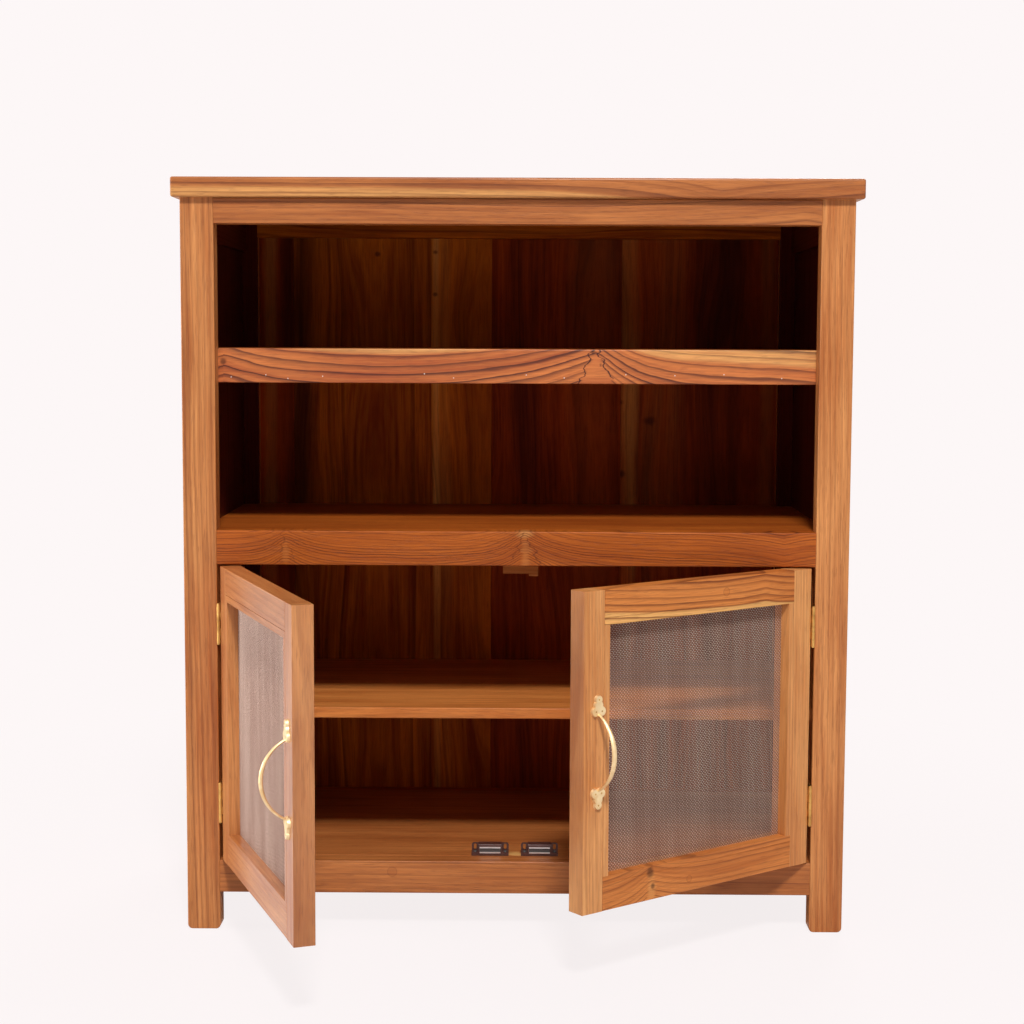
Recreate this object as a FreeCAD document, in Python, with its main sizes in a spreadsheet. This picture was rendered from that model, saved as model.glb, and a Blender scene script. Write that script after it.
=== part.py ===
"""Teak cupboard with two open bays over a pair of wire-mesh doors.

Frame: millimetres, +X right, +Y towards the back, +Z up, origin on the floor at the middle of the legs.
Every board is written as three pairs of formulas, its limits along X, Y and Z, in the names of the sheet.
"""
import FreeCAD, Part
import os
import re
from FreeCAD import Placement, Rotation, Vector

SIZES = (
    # Carcass
    ("carcass_width", 840),
    ("carcass_depth", 410),
    ("top_thick", 25),
    ("top_overhang", 10),
    ("top_round", 3),
    ("leg_width", 42),
    ("leg_thick", 28),
    ("foot_height", 48.5),
    ("foot_round", 6),
    ("edge_round", 1.5),
    # Heights, from the feet up
    ("bottom_rail_height", 42),
    ("door_opening_height", 381.5),
    ("mid_rail_height", 43.5),
    ("lower_bay_height", 185.5),
    ("lipping_height", 43.5),
    ("upper_bay_height", 154.5),
    ("top_rail_height", 32),
    # Back and sides
    ("back_top_rail_height", 29),
    ("plank_thick", 10),
    ("plank_lap", 8),
    ("plank_gap", 0.4),
    ("ship_lap", 6),
    ("side_rail_thick", 22),
    ("side_rail_setback", 4),
    ("side_top_rail_height", 50),
    ("panel_thick", 10),
    ("groove_depth", 8),
    # Joinery
    ("tenon_thick", 10),
    ("tenon_length", 20),
    ("tenon_margin", 6),
    ("side_tenon_thick", 8),
    ("side_tenon_length", 15),
    ("side_tenon_margin", 10),
    ("joint_clearance", 0.2),
    ("cut_overrun", 1),
    # Shelves
    ("shelf_thick", 18),
    ("lipping_thick", 18),
    ("bottom_board_thick", 16),
    ("lower_shelf_thick", 14),
    ("lower_shelf_height", 270),
    ("lower_shelf_setback", 30),
    ("cleat_width", 18),
    ("cleat_height", 18),
    # Doors
    ("door_thick", 25),
    ("door_gap", 1.5),
    ("centre_gap", 3),
    ("left_door_angle", 69),
    ("right_door_angle", 38),
    ("door_stile_width", 39),
    ("door_rail_height", 41),
    ("rebate_width", 8),
    ("lip_thick", 14),
    ("door_tenon_length", 22),
    ("door_tenon_thick", 9),
    ("door_edge_round", 1),
    ("mesh_thick", 0.8),
    ("mesh_bar_width", 4),
    # Hinges
    ("hinge_gap", 4),
    ("hinge_proud", 2),
    ("hinge_height", 50),
    ("hinge_inset", 49),
    ("leaf_width", 20),
    ("leaf_thick", 1.5),
    ("knuckle_radius", 2.5),
    ("knuckle_clearance", 0.3),
    ("leaf_clearance", 0.5),
    ("pin_radius", 1.25),
    ("pin_clearance", 0.05),
    ("pin_cap_radius", 2.1),
    ("pin_cap_height", 1.2),
    ("screw_head_radius", 2.9),
    ("screw_radius", 1.5),
    ("screw_length", 12),
    ("screw_inset", 9),
    # Handles
    ("left_handle_height", 275),
    ("right_handle_height", 282),
    ("handle_edge_distance", 21),
    ("bow_length", 90),
    ("bow_rise", 29),
    ("bow_wide_radius", 3.2),
    ("bow_thick_radius", 2.4),
    ("side_lobe_radius", 6.4),
    ("side_lobe_offset", 4.4),
    ("neck_lobe_radius", 6.8),
    ("tip_lobe_radius", 5.7),
    ("tip_lobe_offset", 13.8),
    ("rosette_thick", 3),
    ("rosette_draft", 1),
    ("nail_radius", 1.1),
    # Catches, strikes and stop
    ("catch_spacing", 64),
    ("catch_body_length", 30),
    ("catch_body_height", 15),
    ("catch_body_depth", 15),
    ("catch_length", 48),
    ("catch_ear_thick", 3),
    ("catch_ear_height", 14),
    ("catch_foot_height", 4),
    ("catch_round", 1.2),
    ("ear_round", 3),
    ("slot_width", 3.6),
    ("slot_height", 7.5),
    ("slot_round", 1.7),
    ("pole_thick", 1.6),
    ("pole_gap", 5),
    ("pole_reach", 1),
    ("pole_depth", 9),
    ("pole_length", 27),
    ("catch_screw_radius", 1.4),
    ("catch_screw_head_radius", 2.4),
    ("catch_screw_head_height", 1.6),
    ("catch_screw_length", 9),
    ("strike_length", 32),
    ("strike_height", 13),
    ("strike_thick", 1),
    ("strike_gap", 0.5),
    ("stop_width", 33),
    ("stop_drop", 13),
    ("stop_step_width", 12),
    ("stop_step_drop", 16),
    ("stop_depth", 19),
    ("stop_height", 38),
    ("stop_gap", 0.4),
)
ALIASES = {alias for alias, value in SIZES}

# Seams between the back planks, as shares of the half width from the middle of the back
PLANK_SEAM_SHARES = (-0.85, -0.33, -0.1, 0.39)
# Places along the bow from end to end, and the swell of its section there
BOW_PLACE_SHARES = (-1, -0.72, -0.38, 0, 0.38, 0.72, 1)
BOW_SWELL_SHARES = (0.62, 0.68, 0.88, 1, 0.88, 0.68, 0.62)
# Knuckles of one hinge from the bottom up: the frame leaf has the odd ones
KNUCKLES = 5
# Openings across and up a door's mesh, which is drawn as a coarse grid
MESH_CELLS = 12
# Radians within which two directions count as the same
ANGLE_SLACK = 0.01
# Degrees that lay a cone or cylinder on its side
QUARTER_TURN = 90

doc = FreeCAD.newDocument("cupboard")
sheet = doc.addObject("Spreadsheet::Sheet", "Sizes")
for row, (alias, value) in enumerate(SIZES, start=1):
    sheet.set("A%d" % row, alias)
    sheet.set("B%d" % row, str(value))
    sheet.setAlias("B%d" % row, alias)
doc.recompute()

# Faces and levels that many pieces share
FRONT = "(-carcass_depth / 2)"
BACK = "(carcass_depth / 2)"
OUTER = "(carcass_width / 2)"
INNER = "(carcass_width / 2 - leg_width)"
LEG_REAR = "(-carcass_depth / 2 + leg_thick)"
POST_FRONT = "(carcass_depth / 2 - leg_thick)"
PLANK_FRONT = "(carcass_depth / 2 - plank_thick)"
BOTTOM_LEVEL = "(foot_height + bottom_rail_height)"
DOOR_TOP_LEVEL = "(%s + door_opening_height)" % BOTTOM_LEVEL
MID_LEVEL = "(%s + mid_rail_height)" % DOOR_TOP_LEVEL
LIPPING_BOTTOM = "(%s + lower_bay_height)" % MID_LEVEL
OPEN_SHELF_LEVEL = "(%s + lipping_height)" % LIPPING_BOTTOM
TOP_RAIL_BOTTOM = "(%s + upper_bay_height)" % OPEN_SHELF_LEVEL
TOP_LEVEL = "(%s + top_rail_height)" % TOP_RAIL_BOTTOM
SIDE_RAIL_INNER = "(carcass_width / 2 - side_rail_setback - side_rail_thick)"
SIDE_RAIL_OUTER = "(carcass_width / 2 - side_rail_setback)"
SIDE_MIDDLE = "(carcass_width / 2 - side_rail_setback - side_rail_thick / 2)"
PANEL_INNER = "(%s - panel_thick / 2)" % SIDE_MIDDLE
SHELF_END = "(%s - joint_clearance)" % PANEL_INNER

# The hinge axis, and limits of a door measured from it: along the door and into its thickness
HINGE_X = "(%s - hinge_gap / 2)" % INNER
HINGE_Y = "(%s - hinge_proud)" % FRONT
DOOR_NEAR = "(hinge_gap / 2)"
DOOR_FAR = "(%s - centre_gap / 2)" % HINGE_X
DOOR_BOTTOM = "(%s + door_gap)" % BOTTOM_LEVEL
DOOR_TOP = "(%s - door_gap)" % DOOR_TOP_LEVEL
DOOR_FACE = "hinge_proud"
DOOR_REAR = "(hinge_proud + door_thick)"
MESH_FACE = "(hinge_proud + lip_thick)"
CORE_NEAR = "(%s + door_stile_width - rebate_width)" % DOOR_NEAR
CORE_FAR = "(%s - door_stile_width + rebate_width)" % DOOR_FAR
LIP_NEAR = "(%s + door_stile_width)" % DOOR_NEAR
LIP_FAR = "(%s - door_stile_width)" % DOOR_FAR
LIP_BOTTOM = "(%s + door_rail_height)" % DOOR_BOTTOM
LIP_TOP = "(%s - door_rail_height)" % DOOR_TOP
REBATE_BOTTOM = "(%s - rebate_width)" % LIP_BOTTOM
REBATE_TOP = "(%s + rebate_width)" % LIP_TOP
HINGE_MIDDLES = (
    "(%s + hinge_inset + hinge_height / 2)" % DOOR_BOTTOM,
    "(%s - hinge_inset - hinge_height / 2)" % DOOR_TOP,
)
SIDES = (("left", -1), ("right", 1))
X_AXIS = Vector(1, 0, 0)
Y_AXIS = Vector(0, 1, 0)
Z_AXIS = Vector(0, 0, 1)

parts = {}


def formula(text):
    """Point each size that a formula names at its cell in the sheet."""
    return re.sub(r"[a-z_]+", lambda word: "Sizes." + word[0] if word[0] in ALIASES else word[0], text)


def bind(item, **formulas):
    """Bind an object's properties to formulas."""
    for name, text in formulas.items():
        item.setExpression(name, formula(text))


def put(item, x, y, z):
    """Bind the place of an object's own origin."""
    for axis, text in zip("xyz", (x, y, z)):
        item.setExpression("Placement.Base." + axis, formula(text))


def span(limits):
    """Length between two limits, as a formula."""
    return "(%s) - (%s)" % (limits[1], limits[0])


def mirrored(side, limits):
    """Turn limits that are written for the right-hand side to either side."""
    if side > 0:
        return limits
    return ("-(%s)" % limits[1], "-(%s)" % limits[0])


def along_door(side, limits):
    """Limits measured from the hinge towards the middle, in the frame of either door."""
    return mirrored(-side, limits)


def block(body, x, y, z, kind="Additive"):
    """Add a block to a body, or cut one from it."""
    piece = body.newObject("PartDesign::%sBox" % kind, body.Label + "_" + kind.lower())
    bind(piece, Length=span(x), Width=span(y), Height=span(z))
    put(piece, x[0], y[0], z[0])
    return piece


def recess(body, x, y, z):
    """Cut a block from a body."""
    return block(body, x, y, z, "Subtractive")


def bore(body, side, x, y, z, radius, depth):
    """Bore a blind hole along X into a body, towards the right for side 1."""
    hole = body.newObject("PartDesign::SubtractiveCylinder", body.Label + "_bore")
    hole.Placement.Rotation = Rotation(Y_AXIS, QUARTER_TURN * side)
    bind(hole, Radius=radius, Height=depth)
    put(hole, x, y, z)


def ease(body, axis, radius, wanted=lambda edge: True):
    """Round the straight edges of the newest feature that run along one axis."""
    doc.recompute()
    base = body.Tip
    names = []
    for number, edge in enumerate(base.Shape.Edges, start=1):
        straight = edge.Curve.TypeId == "Part::GeomLine"
        if straight and edge.tangentAt(edge.FirstParameter).isParallel(axis, ANGLE_SLACK) and wanted(edge):
            names.append("Edge%d" % number)
    rounding = body.newObject("PartDesign::Fillet", body.Label + "_round")
    rounding.Base = (base, names)
    bind(rounding, Radius=radius)


def board(label, x, y, z, axis=None, radius="edge_round"):
    """Make a named board from its limits, with the edges along one axis eased."""
    body = doc.addObject("PartDesign::Body", label)
    block(body, x, y, z)
    if axis:
        ease(body, axis, radius)
    parts[label] = body
    return body


def hang(item, side):
    """Place an object that is drawn from the hinge axis on its open door."""
    name = "left_door_angle" if side < 0 else "right_door_angle"
    item.Placement = Placement(Vector(), Rotation(Z_AXIS, QUARTER_TURN))
    item.setExpression("Placement.Rotation.Angle", formula("%d * %s" % (side, name)))
    put(item, "%d * %s" % (side, HINGE_X), HINGE_Y, "0")


def solid(kind, name, turn=None, **formulas):
    """Make a Part primitive with bound sizes, turned about an axis where one is given."""
    item = doc.addObject("Part::" + kind, name)
    if turn:
        item.Placement.Rotation = Rotation(*turn)
    bind(item, **formulas)
    return item


def joined(kind, name, items):
    """Join Part objects as a MultiFuse or a Compound."""
    item = doc.addObject("Part::" + kind, name)
    setattr(item, "Shapes" if kind == "MultiFuse" else "Links", items)
    return item


def less(name, base, tools):
    """Cut a group of tools from a Part object."""
    item = doc.addObject("Part::Cut", name)
    item.Base = base
    item.Tool = joined("Compound", name + "_tools", tools)
    return item


RAIL_LEVELS = {
    "bottom": ("foot_height", BOTTOM_LEVEL),
    "mid": (DOOR_TOP_LEVEL, MID_LEVEL),
    "top": (TOP_RAIL_BOTTOM, TOP_LEVEL),
}
BACK_RAIL_LEVELS = {
    "bottom": ("foot_height", BOTTOM_LEVEL),
    "top": ("(%s - back_top_rail_height)" % TOP_LEVEL, TOP_LEVEL),
}
SIDE_RAIL_LEVELS = {
    "bottom": ("foot_height", BOTTOM_LEVEL),
    "top": ("(%s - side_top_rail_height)" % TOP_LEVEL, TOP_LEVEL),
}
PANEL_LEVELS = (BOTTOM_LEVEL + " - groove_depth", SIDE_RAIL_LEVELS["top"][0] + " + groove_depth")


def shrunk(limits, margin):
    """Draw limits in by a margin at both ends."""
    return ("(%s) + %s" % (limits[0], margin), "(%s) - %s" % (limits[1], margin))


def middle(limits, thick):
    """Limits of something of a given thickness, in the middle of two others."""
    return around("((%s) + (%s)) / 2" % limits, thick)


def around(centre, length):
    """Limits of a length about a centre."""
    return ("%s - %s / 2" % (centre, length), "%s + %s / 2" % (centre, length))


def grown(limits):
    """Open limits by the joint clearance, for a mortise or groove."""
    return shrunk(limits, "-joint_clearance")


def tenon_limits(faces, levels):
    """Thickness and height of a rail's tenon."""
    return middle(faces, "tenon_thick"), shrunk(levels, "tenon_margin")


def top_board():
    x = ("-(%s + top_overhang)" % OUTER, "%s + top_overhang" % OUTER)
    body = board("top_board", x, (FRONT + " - top_overhang", BACK), (TOP_LEVEL, TOP_LEVEL + " + top_thick"))
    ease(body, X_AXIS, "top_round", lambda edge: edge.BoundBox.YMax < 0)
    ease(body, Y_AXIS, "top_round")


def into_leg(place, depth):
    """Limits of a cut into the inner face of a front or back leg."""
    if place == "front":
        return ("%s - %s - joint_clearance" % (LEG_REAR, depth), LEG_REAR + " + cut_overrun")
    return (POST_FRONT + " - cut_overrun", "%s + %s + joint_clearance" % (POST_FRONT, depth))


def leg(place, side, faces, rail_faces, levels):
    """One leg, mortised for its rails and grooved for the side panel."""
    label = "%s_%s_leg" % (place, "left" if side < 0 else "right")
    body = board(label, mirrored(side, (INNER, OUTER)), faces, ("0", TOP_LEVEL))
    ease(body, Y_AXIS, "foot_round", lambda edge: edge.BoundBox.ZMax < edge.Length)
    ease(body, Z_AXIS, "edge_round")
    for rail in levels.values():
        y, z = tenon_limits(rail_faces, rail)
        depth = (INNER + " - cut_overrun", INNER + " + tenon_length + joint_clearance")
        recess(body, mirrored(side, depth), grown(y), grown(z))
    for rail in SIDE_RAIL_LEVELS.values():
        x = around(SIDE_MIDDLE, "side_tenon_thick")
        z = shrunk(rail, "side_tenon_margin")
        recess(body, mirrored(side, grown(x)), into_leg(place, "side_tenon_length"), grown(z))
    x = around(SIDE_MIDDLE, "panel_thick")
    recess(body, mirrored(side, grown(x)), into_leg(place, "groove_depth"), grown(PANEL_LEVELS))
    return body


def legs():
    for name, side in SIDES:
        front = leg("front", side, (FRONT, LEG_REAR), (FRONT, LEG_REAR), RAIL_LEVELS)
        for level in screw_levels():
            y = "%s + hinge_proud + leaf_width - screw_inset" % HINGE_Y
            bore(front, side, "%d * %s" % (side, INNER), y, level, "screw_radius", "screw_length")
        rear = leg("back", side, (POST_FRONT, BACK), (POST_FRONT, PLANK_FRONT), BACK_RAIL_LEVELS)
        rebate = (INNER + " - cut_overrun", INNER + " + plank_lap + joint_clearance")
        z = ("foot_height - joint_clearance", TOP_LEVEL + " + cut_overrun")
        recess(rear, mirrored(side, rebate), (PLANK_FRONT, BACK + " + cut_overrun"), z)


def rail(label, faces, levels):
    """A front or back rail with a tenon at each end."""
    body = board(label, ("-" + INNER, INNER), faces, levels, X_AXIS)
    y, z = tenon_limits(faces, levels)
    block(body, ("-(%s + tenon_length)" % INNER, INNER + " + tenon_length"), y, z)


def rails():
    for place, levels in RAIL_LEVELS.items():
        rail("front_%s_rail" % place, (FRONT, LEG_REAR), levels)
    for place, levels in BACK_RAIL_LEVELS.items():
        rail("back_%s_rail" % place, (POST_FRONT, PLANK_FRONT), levels)


def sides():
    """Side rails with tenons and a panel groove, and the side panels."""
    between = (LEG_REAR, POST_FRONT)
    panel = around(SIDE_MIDDLE, "panel_thick")
    for name, side in SIDES:
        for place, levels in SIDE_RAIL_LEVELS.items():
            x = mirrored(side, (SIDE_RAIL_INNER, SIDE_RAIL_OUTER))
            body = board("%s_side_%s_rail" % (name, place), x, between, levels, Y_AXIS)
            tenon = mirrored(side, around(SIDE_MIDDLE, "side_tenon_thick"))
            block(body, tenon, shrunk(between, "-side_tenon_length"), shrunk(levels, "side_tenon_margin"))
            if place == "bottom":
                z = (levels[1] + " - groove_depth - joint_clearance", levels[1] + " + cut_overrun")
            else:
                z = (levels[0] + " - cut_overrun", levels[0] + " + groove_depth + joint_clearance")
            recess(body, mirrored(side, grown(panel)), shrunk(between, "-cut_overrun"), z)
        x = mirrored(side, panel)
        board("%s_side_panel" % name, x, shrunk(between, "-groove_depth"), PANEL_LEVELS)


def back_planks():
    """Upright planks of random width in the rebates of the back legs, ship-lapped at the seams."""
    edge = "(%s + plank_lap)" % INNER
    seams = ["-" + edge] + ["%s * %g" % (edge, share) for share in PLANK_SEAM_SHARES] + [edge]
    levels = ("foot_height", TOP_LEVEL)
    lap = "(%s + plank_thick / 2)" % PLANK_FRONT
    for number, limits in enumerate(zip(seams, seams[1:]), start=1):
        x = shrunk(limits, "plank_gap / 2")
        body = board("back_plank_%d" % number, x, (PLANK_FRONT, BACK), levels, Z_AXIS, "plank_gap")
        if limits[0] != seams[0]:
            under = (x[0] + " - cut_overrun", x[0] + " + ship_lap")
            recess(body, under, (lap + " - plank_gap / 2", BACK + " + cut_overrun"), levels)
        if limits[1] != edge:
            tongue = (x[1] + " - ship_lap", x[1] + " + ship_lap")
            block(body, tongue, (lap + " + plank_gap / 2", BACK), levels)


def shelf(label, front, levels):
    """A shelf between the side panels, notched round the back legs."""
    body = board(label, ("-" + SHELF_END, SHELF_END), (front, PLANK_FRONT), levels, X_AXIS, "edge_round")
    for name, side in SIDES:
        notch = mirrored(side, (INNER + " - joint_clearance", OUTER))
        z = (levels[0] + " - cut_overrun", levels[1] + " + cut_overrun")
        recess(body, notch, (POST_FRONT + " - joint_clearance", BACK), z)


def cleats(label, wall, front, rear, top):
    """A pair of battens on the side walls under a shelf."""
    pair = []
    for name, side in SIDES:
        batten = solid("Box", "%s_%s" % (label, name), Length="cleat_width", Width=span((front, rear)),
                       Height="cleat_height")
        put(batten, mirrored(side, (wall + " - cleat_width", wall))[0], front, top + " - cleat_height")
        pair.append(batten)
    parts[label] = joined("Compound", label, pair)


def shelves():
    shelf_under = OPEN_SHELF_LEVEL + " - shelf_thick"
    lipping_rear = LEG_REAR + " + lipping_thick"
    ends = ("-" + SHELF_END, SHELF_END)
    board("open_shelf_lipping", ends, (LEG_REAR, lipping_rear), (LIPPING_BOTTOM, OPEN_SHELF_LEVEL), X_AXIS)
    shelf("open_shelf", lipping_rear, (shelf_under, OPEN_SHELF_LEVEL))
    cleats("open_shelf_cleats", PANEL_INNER, lipping_rear, POST_FRONT, shelf_under)
    shelf("mid_shelf", LEG_REAR, (MID_LEVEL + " - shelf_thick", MID_LEVEL))
    cleats("mid_shelf_cleats", PANEL_INNER, LEG_REAR, POST_FRONT, MID_LEVEL + " - shelf_thick")
    lower_front = FRONT + " + lower_shelf_setback"
    shelf("lower_shelf", lower_front, ("lower_shelf_height", "lower_shelf_height + lower_shelf_thick"))
    cleats("lower_shelf_cleats", PANEL_INNER, lower_front, POST_FRONT, "lower_shelf_height")
    x = ("-%s + joint_clearance" % SIDE_RAIL_INNER, "%s - joint_clearance" % SIDE_RAIL_INNER)
    under = BOTTOM_LEVEL + " - bottom_board_thick"
    board("bottom_board", x, (LEG_REAR, POST_FRONT), (under, BOTTOM_LEVEL), X_AXIS)
    cleats("bottom_board_cleats", SIDE_RAIL_INNER, LEG_REAR, POST_FRONT, under)


def door_stop():
    """Stepped block behind the mid rail, with a tongue that the closed doors meet."""
    face = (FRONT + " + door_thick + stop_gap", LEG_REAR + " + stop_depth")
    x = ("-stop_width / 2", "stop_width / 2")
    levels = (DOOR_TOP_LEVEL, DOOR_TOP_LEVEL + " + stop_height - stop_drop")
    body = board("door_stop", x, (LEG_REAR, face[1]), levels)
    block(body, x, face, (DOOR_TOP_LEVEL + " - stop_drop", DOOR_TOP_LEVEL))
    step = ("stop_width / 2", "stop_width / 2 + stop_step_width")
    block(body, step, face, (DOOR_TOP_LEVEL + " - stop_step_drop", DOOR_TOP_LEVEL))


def screw_pair(centre):
    """Heights of the two screws of a leaf."""
    return shrunk(around(centre, "hinge_height"), "screw_inset")


def screw_levels():
    """Heights of all the screws of a door's leaves."""
    return [level for centre in HINGE_MIDDLES for level in screw_pair(centre)]


def countersunk(name, side, face, y, level):
    """A countersunk screw along X: its head stands at the face and its shank runs on from the leaf."""
    turn = (Y_AXIS, QUARTER_TURN * side)
    head = solid("Cone", name + "_head", turn, Radius1="screw_head_radius", Radius2="screw_radius",
                 Height="leaf_thick")
    put(head, face, y, level)
    shank = solid("Cylinder", name + "_shank", turn, Radius="screw_radius", Height="screw_length")
    put(shank, "%s + %d * leaf_thick" % (face, side), y, level)
    return joined("MultiFuse", name, [head, shank])


def hinge_leaf(name, toward, own):
    """A pair of leaves, drawn about the hinge axis, that lie on the side that toward names."""
    leaves = []
    length = "(hinge_height / %d)" % KNUCKLES
    face = ("hinge_gap / 2 - leaf_thick", "hinge_gap / 2")
    x = mirrored(toward, face)[0]
    near = "(knuckle_radius + leaf_clearance)"
    far = "(hinge_proud + leaf_width)"
    for number, centre in enumerate(HINGE_MIDDLES):
        label = "%s_%d" % (name, number)
        foot = "(%s - hinge_height / 2)" % centre
        plate = solid("Box", label + "_plate", Length="leaf_thick", Width=span((near, far)),
                      Height="hinge_height")
        put(plate, x, near, foot)
        pieces = [plate]
        for order in own:
            base = "%s + %d * %s + knuckle_clearance / 2" % (foot, order, length)
            high = length + " - knuckle_clearance"
            knuckle = solid("Cylinder", "%s_knuckle_%d" % (label, order), Radius="knuckle_radius",
                            Height=high)
            put(knuckle, "0", "0", base)
            tab = solid("Box", "%s_tab_%d" % (label, order), Length="leaf_thick", Width=near, Height=high)
            put(tab, x, "0", base)
            pieces += [knuckle, tab]
        pin_bore = solid("Cylinder", label + "_bore", Radius="pin_radius + pin_clearance",
                         Height="hinge_height")
        put(pin_bore, "0", "0", foot)
        tools = [pin_bore]
        for place, level in enumerate(screw_pair(centre)):
            sink = solid("Cone", "%s_sink_%d" % (label, place), (Y_AXIS, QUARTER_TURN * toward),
                         Radius1="screw_head_radius", Radius2="screw_radius", Height="leaf_thick")
            put(sink, "%d * (%s)" % (toward, face[0]), "hinge_proud + leaf_width - screw_inset", level)
            tools.append(sink)
        leaves.append(less(label, joined("MultiFuse", label + "_blank", pieces), tools))
    return joined("Compound", name, leaves)


def hinge_screws(name, toward):
    """The screws of a pair of leaves, drawn about the hinge axis."""
    face = "%d * (hinge_gap / 2 - leaf_thick)" % toward
    y = "hinge_proud + leaf_width - screw_inset"
    return [countersunk("%s_%d" % (name, number), toward, face, y, level)
            for number, level in enumerate(screw_levels())]


def hinges():
    """Frame leaves, pins and screws on the carcass, and door leaves and screws on each door."""
    frame_screws = []
    pins = []
    odd = range(0, KNUCKLES, 2)
    even = range(1, KNUCKLES, 2)
    for name, side in SIDES:
        axis = "%d * %s" % (side, HINGE_X)
        label = "%s_hinge_frame_leaves" % name
        parts[label] = hinge_leaf(label, side, odd)
        put(parts[label], axis, HINGE_Y, "0")
        screws = joined("Compound", "%s_frame_screws" % name, hinge_screws("%s_frame_screw" % name, side))
        put(screws, axis, HINGE_Y, "0")
        frame_screws.append(screws)
        for number, centre in enumerate(HINGE_MIDDLES):
            pin_name = "%s_pin_%d" % (name, number)
            foot = "%s - hinge_height / 2" % centre
            stem = solid("Cylinder", pin_name + "_stem", Radius="pin_radius", Height="hinge_height")
            put(stem, axis, HINGE_Y, foot)
            caps = []
            for end, base in enumerate((foot + " - pin_cap_height", foot + " + hinge_height")):
                cap = solid("Cylinder", "%s_cap_%d" % (pin_name, end), Radius="pin_cap_radius",
                            Height="pin_cap_height")
                put(cap, axis, HINGE_Y, base)
                caps.append(cap)
            pins.append(joined("MultiFuse", pin_name, [stem] + caps))
        label = "%s_door_hinge_leaves" % name
        parts[label] = hinge_leaf(label, -side, even)
        hang(parts[label], side)
        label = "%s_door_hinge_screws" % name
        parts[label] = joined("Compound", label, hinge_screws(label, -side))
        hang(parts[label], side)
    parts["frame_hinge_screws"] = joined("Compound", "frame_hinge_screws", frame_screws)
    parts["hinge_pins"] = joined("Compound", "hinge_pins", pins)


def door_stile(label, side, core, lip):
    """A door stile: the core between the edges, with a lip in front of the mesh between the rails."""
    ends = (DOOR_BOTTOM, DOOR_TOP)
    body = board(label, along_door(side, core), (DOOR_FACE, DOOR_REAR), ends, Z_AXIS, "door_edge_round")
    block(body, along_door(side, lip), (DOOR_FACE, MESH_FACE), (LIP_BOTTOM, LIP_TOP))
    y = middle((DOOR_FACE, DOOR_REAR), "door_tenon_thick")
    if core[1] == CORE_NEAR:
        depth = (CORE_NEAR + " - door_tenon_length - joint_clearance", CORE_NEAR + " + cut_overrun")
    else:
        depth = (CORE_FAR + " - cut_overrun", CORE_FAR + " + door_tenon_length + joint_clearance")
    for levels in ((DOOR_BOTTOM, REBATE_BOTTOM), (REBATE_TOP, DOOR_TOP)):
        recess(body, along_door(side, depth), grown(y), grown(shrunk(levels, "tenon_margin")))
    return body


def door_rail(label, side, core, lip):
    """A door rail: the core, a lip in front of the mesh and a tenon at each end."""
    ends = along_door(side, (CORE_NEAR, CORE_FAR))
    body = board(label, ends, (DOOR_FACE, DOOR_REAR), core, X_AXIS, "door_edge_round")
    block(body, ends, (DOOR_FACE, MESH_FACE), lip)
    y = middle((DOOR_FACE, DOOR_REAR), "door_tenon_thick")
    tenons = (CORE_NEAR + " - door_tenon_length", CORE_FAR + " + door_tenon_length")
    block(body, along_door(side, tenons), y, shrunk(core, "tenon_margin"))
    return body


def door_frame(name, side):
    """Two stiles and two rails round the mesh."""
    hinge = door_stile(name + "_door_hinge_stile", side, (DOOR_NEAR, CORE_NEAR), (CORE_NEAR, LIP_NEAR))
    for level in screw_levels():
        x = "%d * -hinge_gap / 2" % side
        y = "hinge_proud + leaf_width - screw_inset"
        bore(hinge, -side, x, y, level, "screw_radius", "screw_length")
    lock = door_stile(name + "_door_lock_stile", side, (CORE_FAR, DOOR_FAR), (LIP_FAR, CORE_FAR))
    core, lip = (DOOR_BOTTOM, REBATE_BOTTOM), (REBATE_BOTTOM, LIP_BOTTOM)
    bottom = door_rail(name + "_door_bottom_rail", side, core, lip)
    core, lip = (REBATE_TOP, DOOR_TOP), (LIP_TOP, REBATE_TOP)
    top = door_rail(name + "_door_top_rail", side, core, lip)
    for piece in (hinge, lock, bottom, top):
        hang(piece, side)


def bar_limits(limits, number):
    """Limits of one bar of the mesh, spread evenly between two outer limits."""
    low = "(%s) + %d * (%s - mesh_bar_width) / %d" % (limits[0], number, span(limits), MESH_CELLS)
    return (low, low + " + mesh_bar_width")


def mesh_bar(name, x, z):
    """One straight bar of the mesh."""
    bar = solid("Box", name, Length=span(x), Width="mesh_thick", Height=span(z))
    put(bar, x[0], MESH_FACE, z[0])
    return bar


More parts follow.
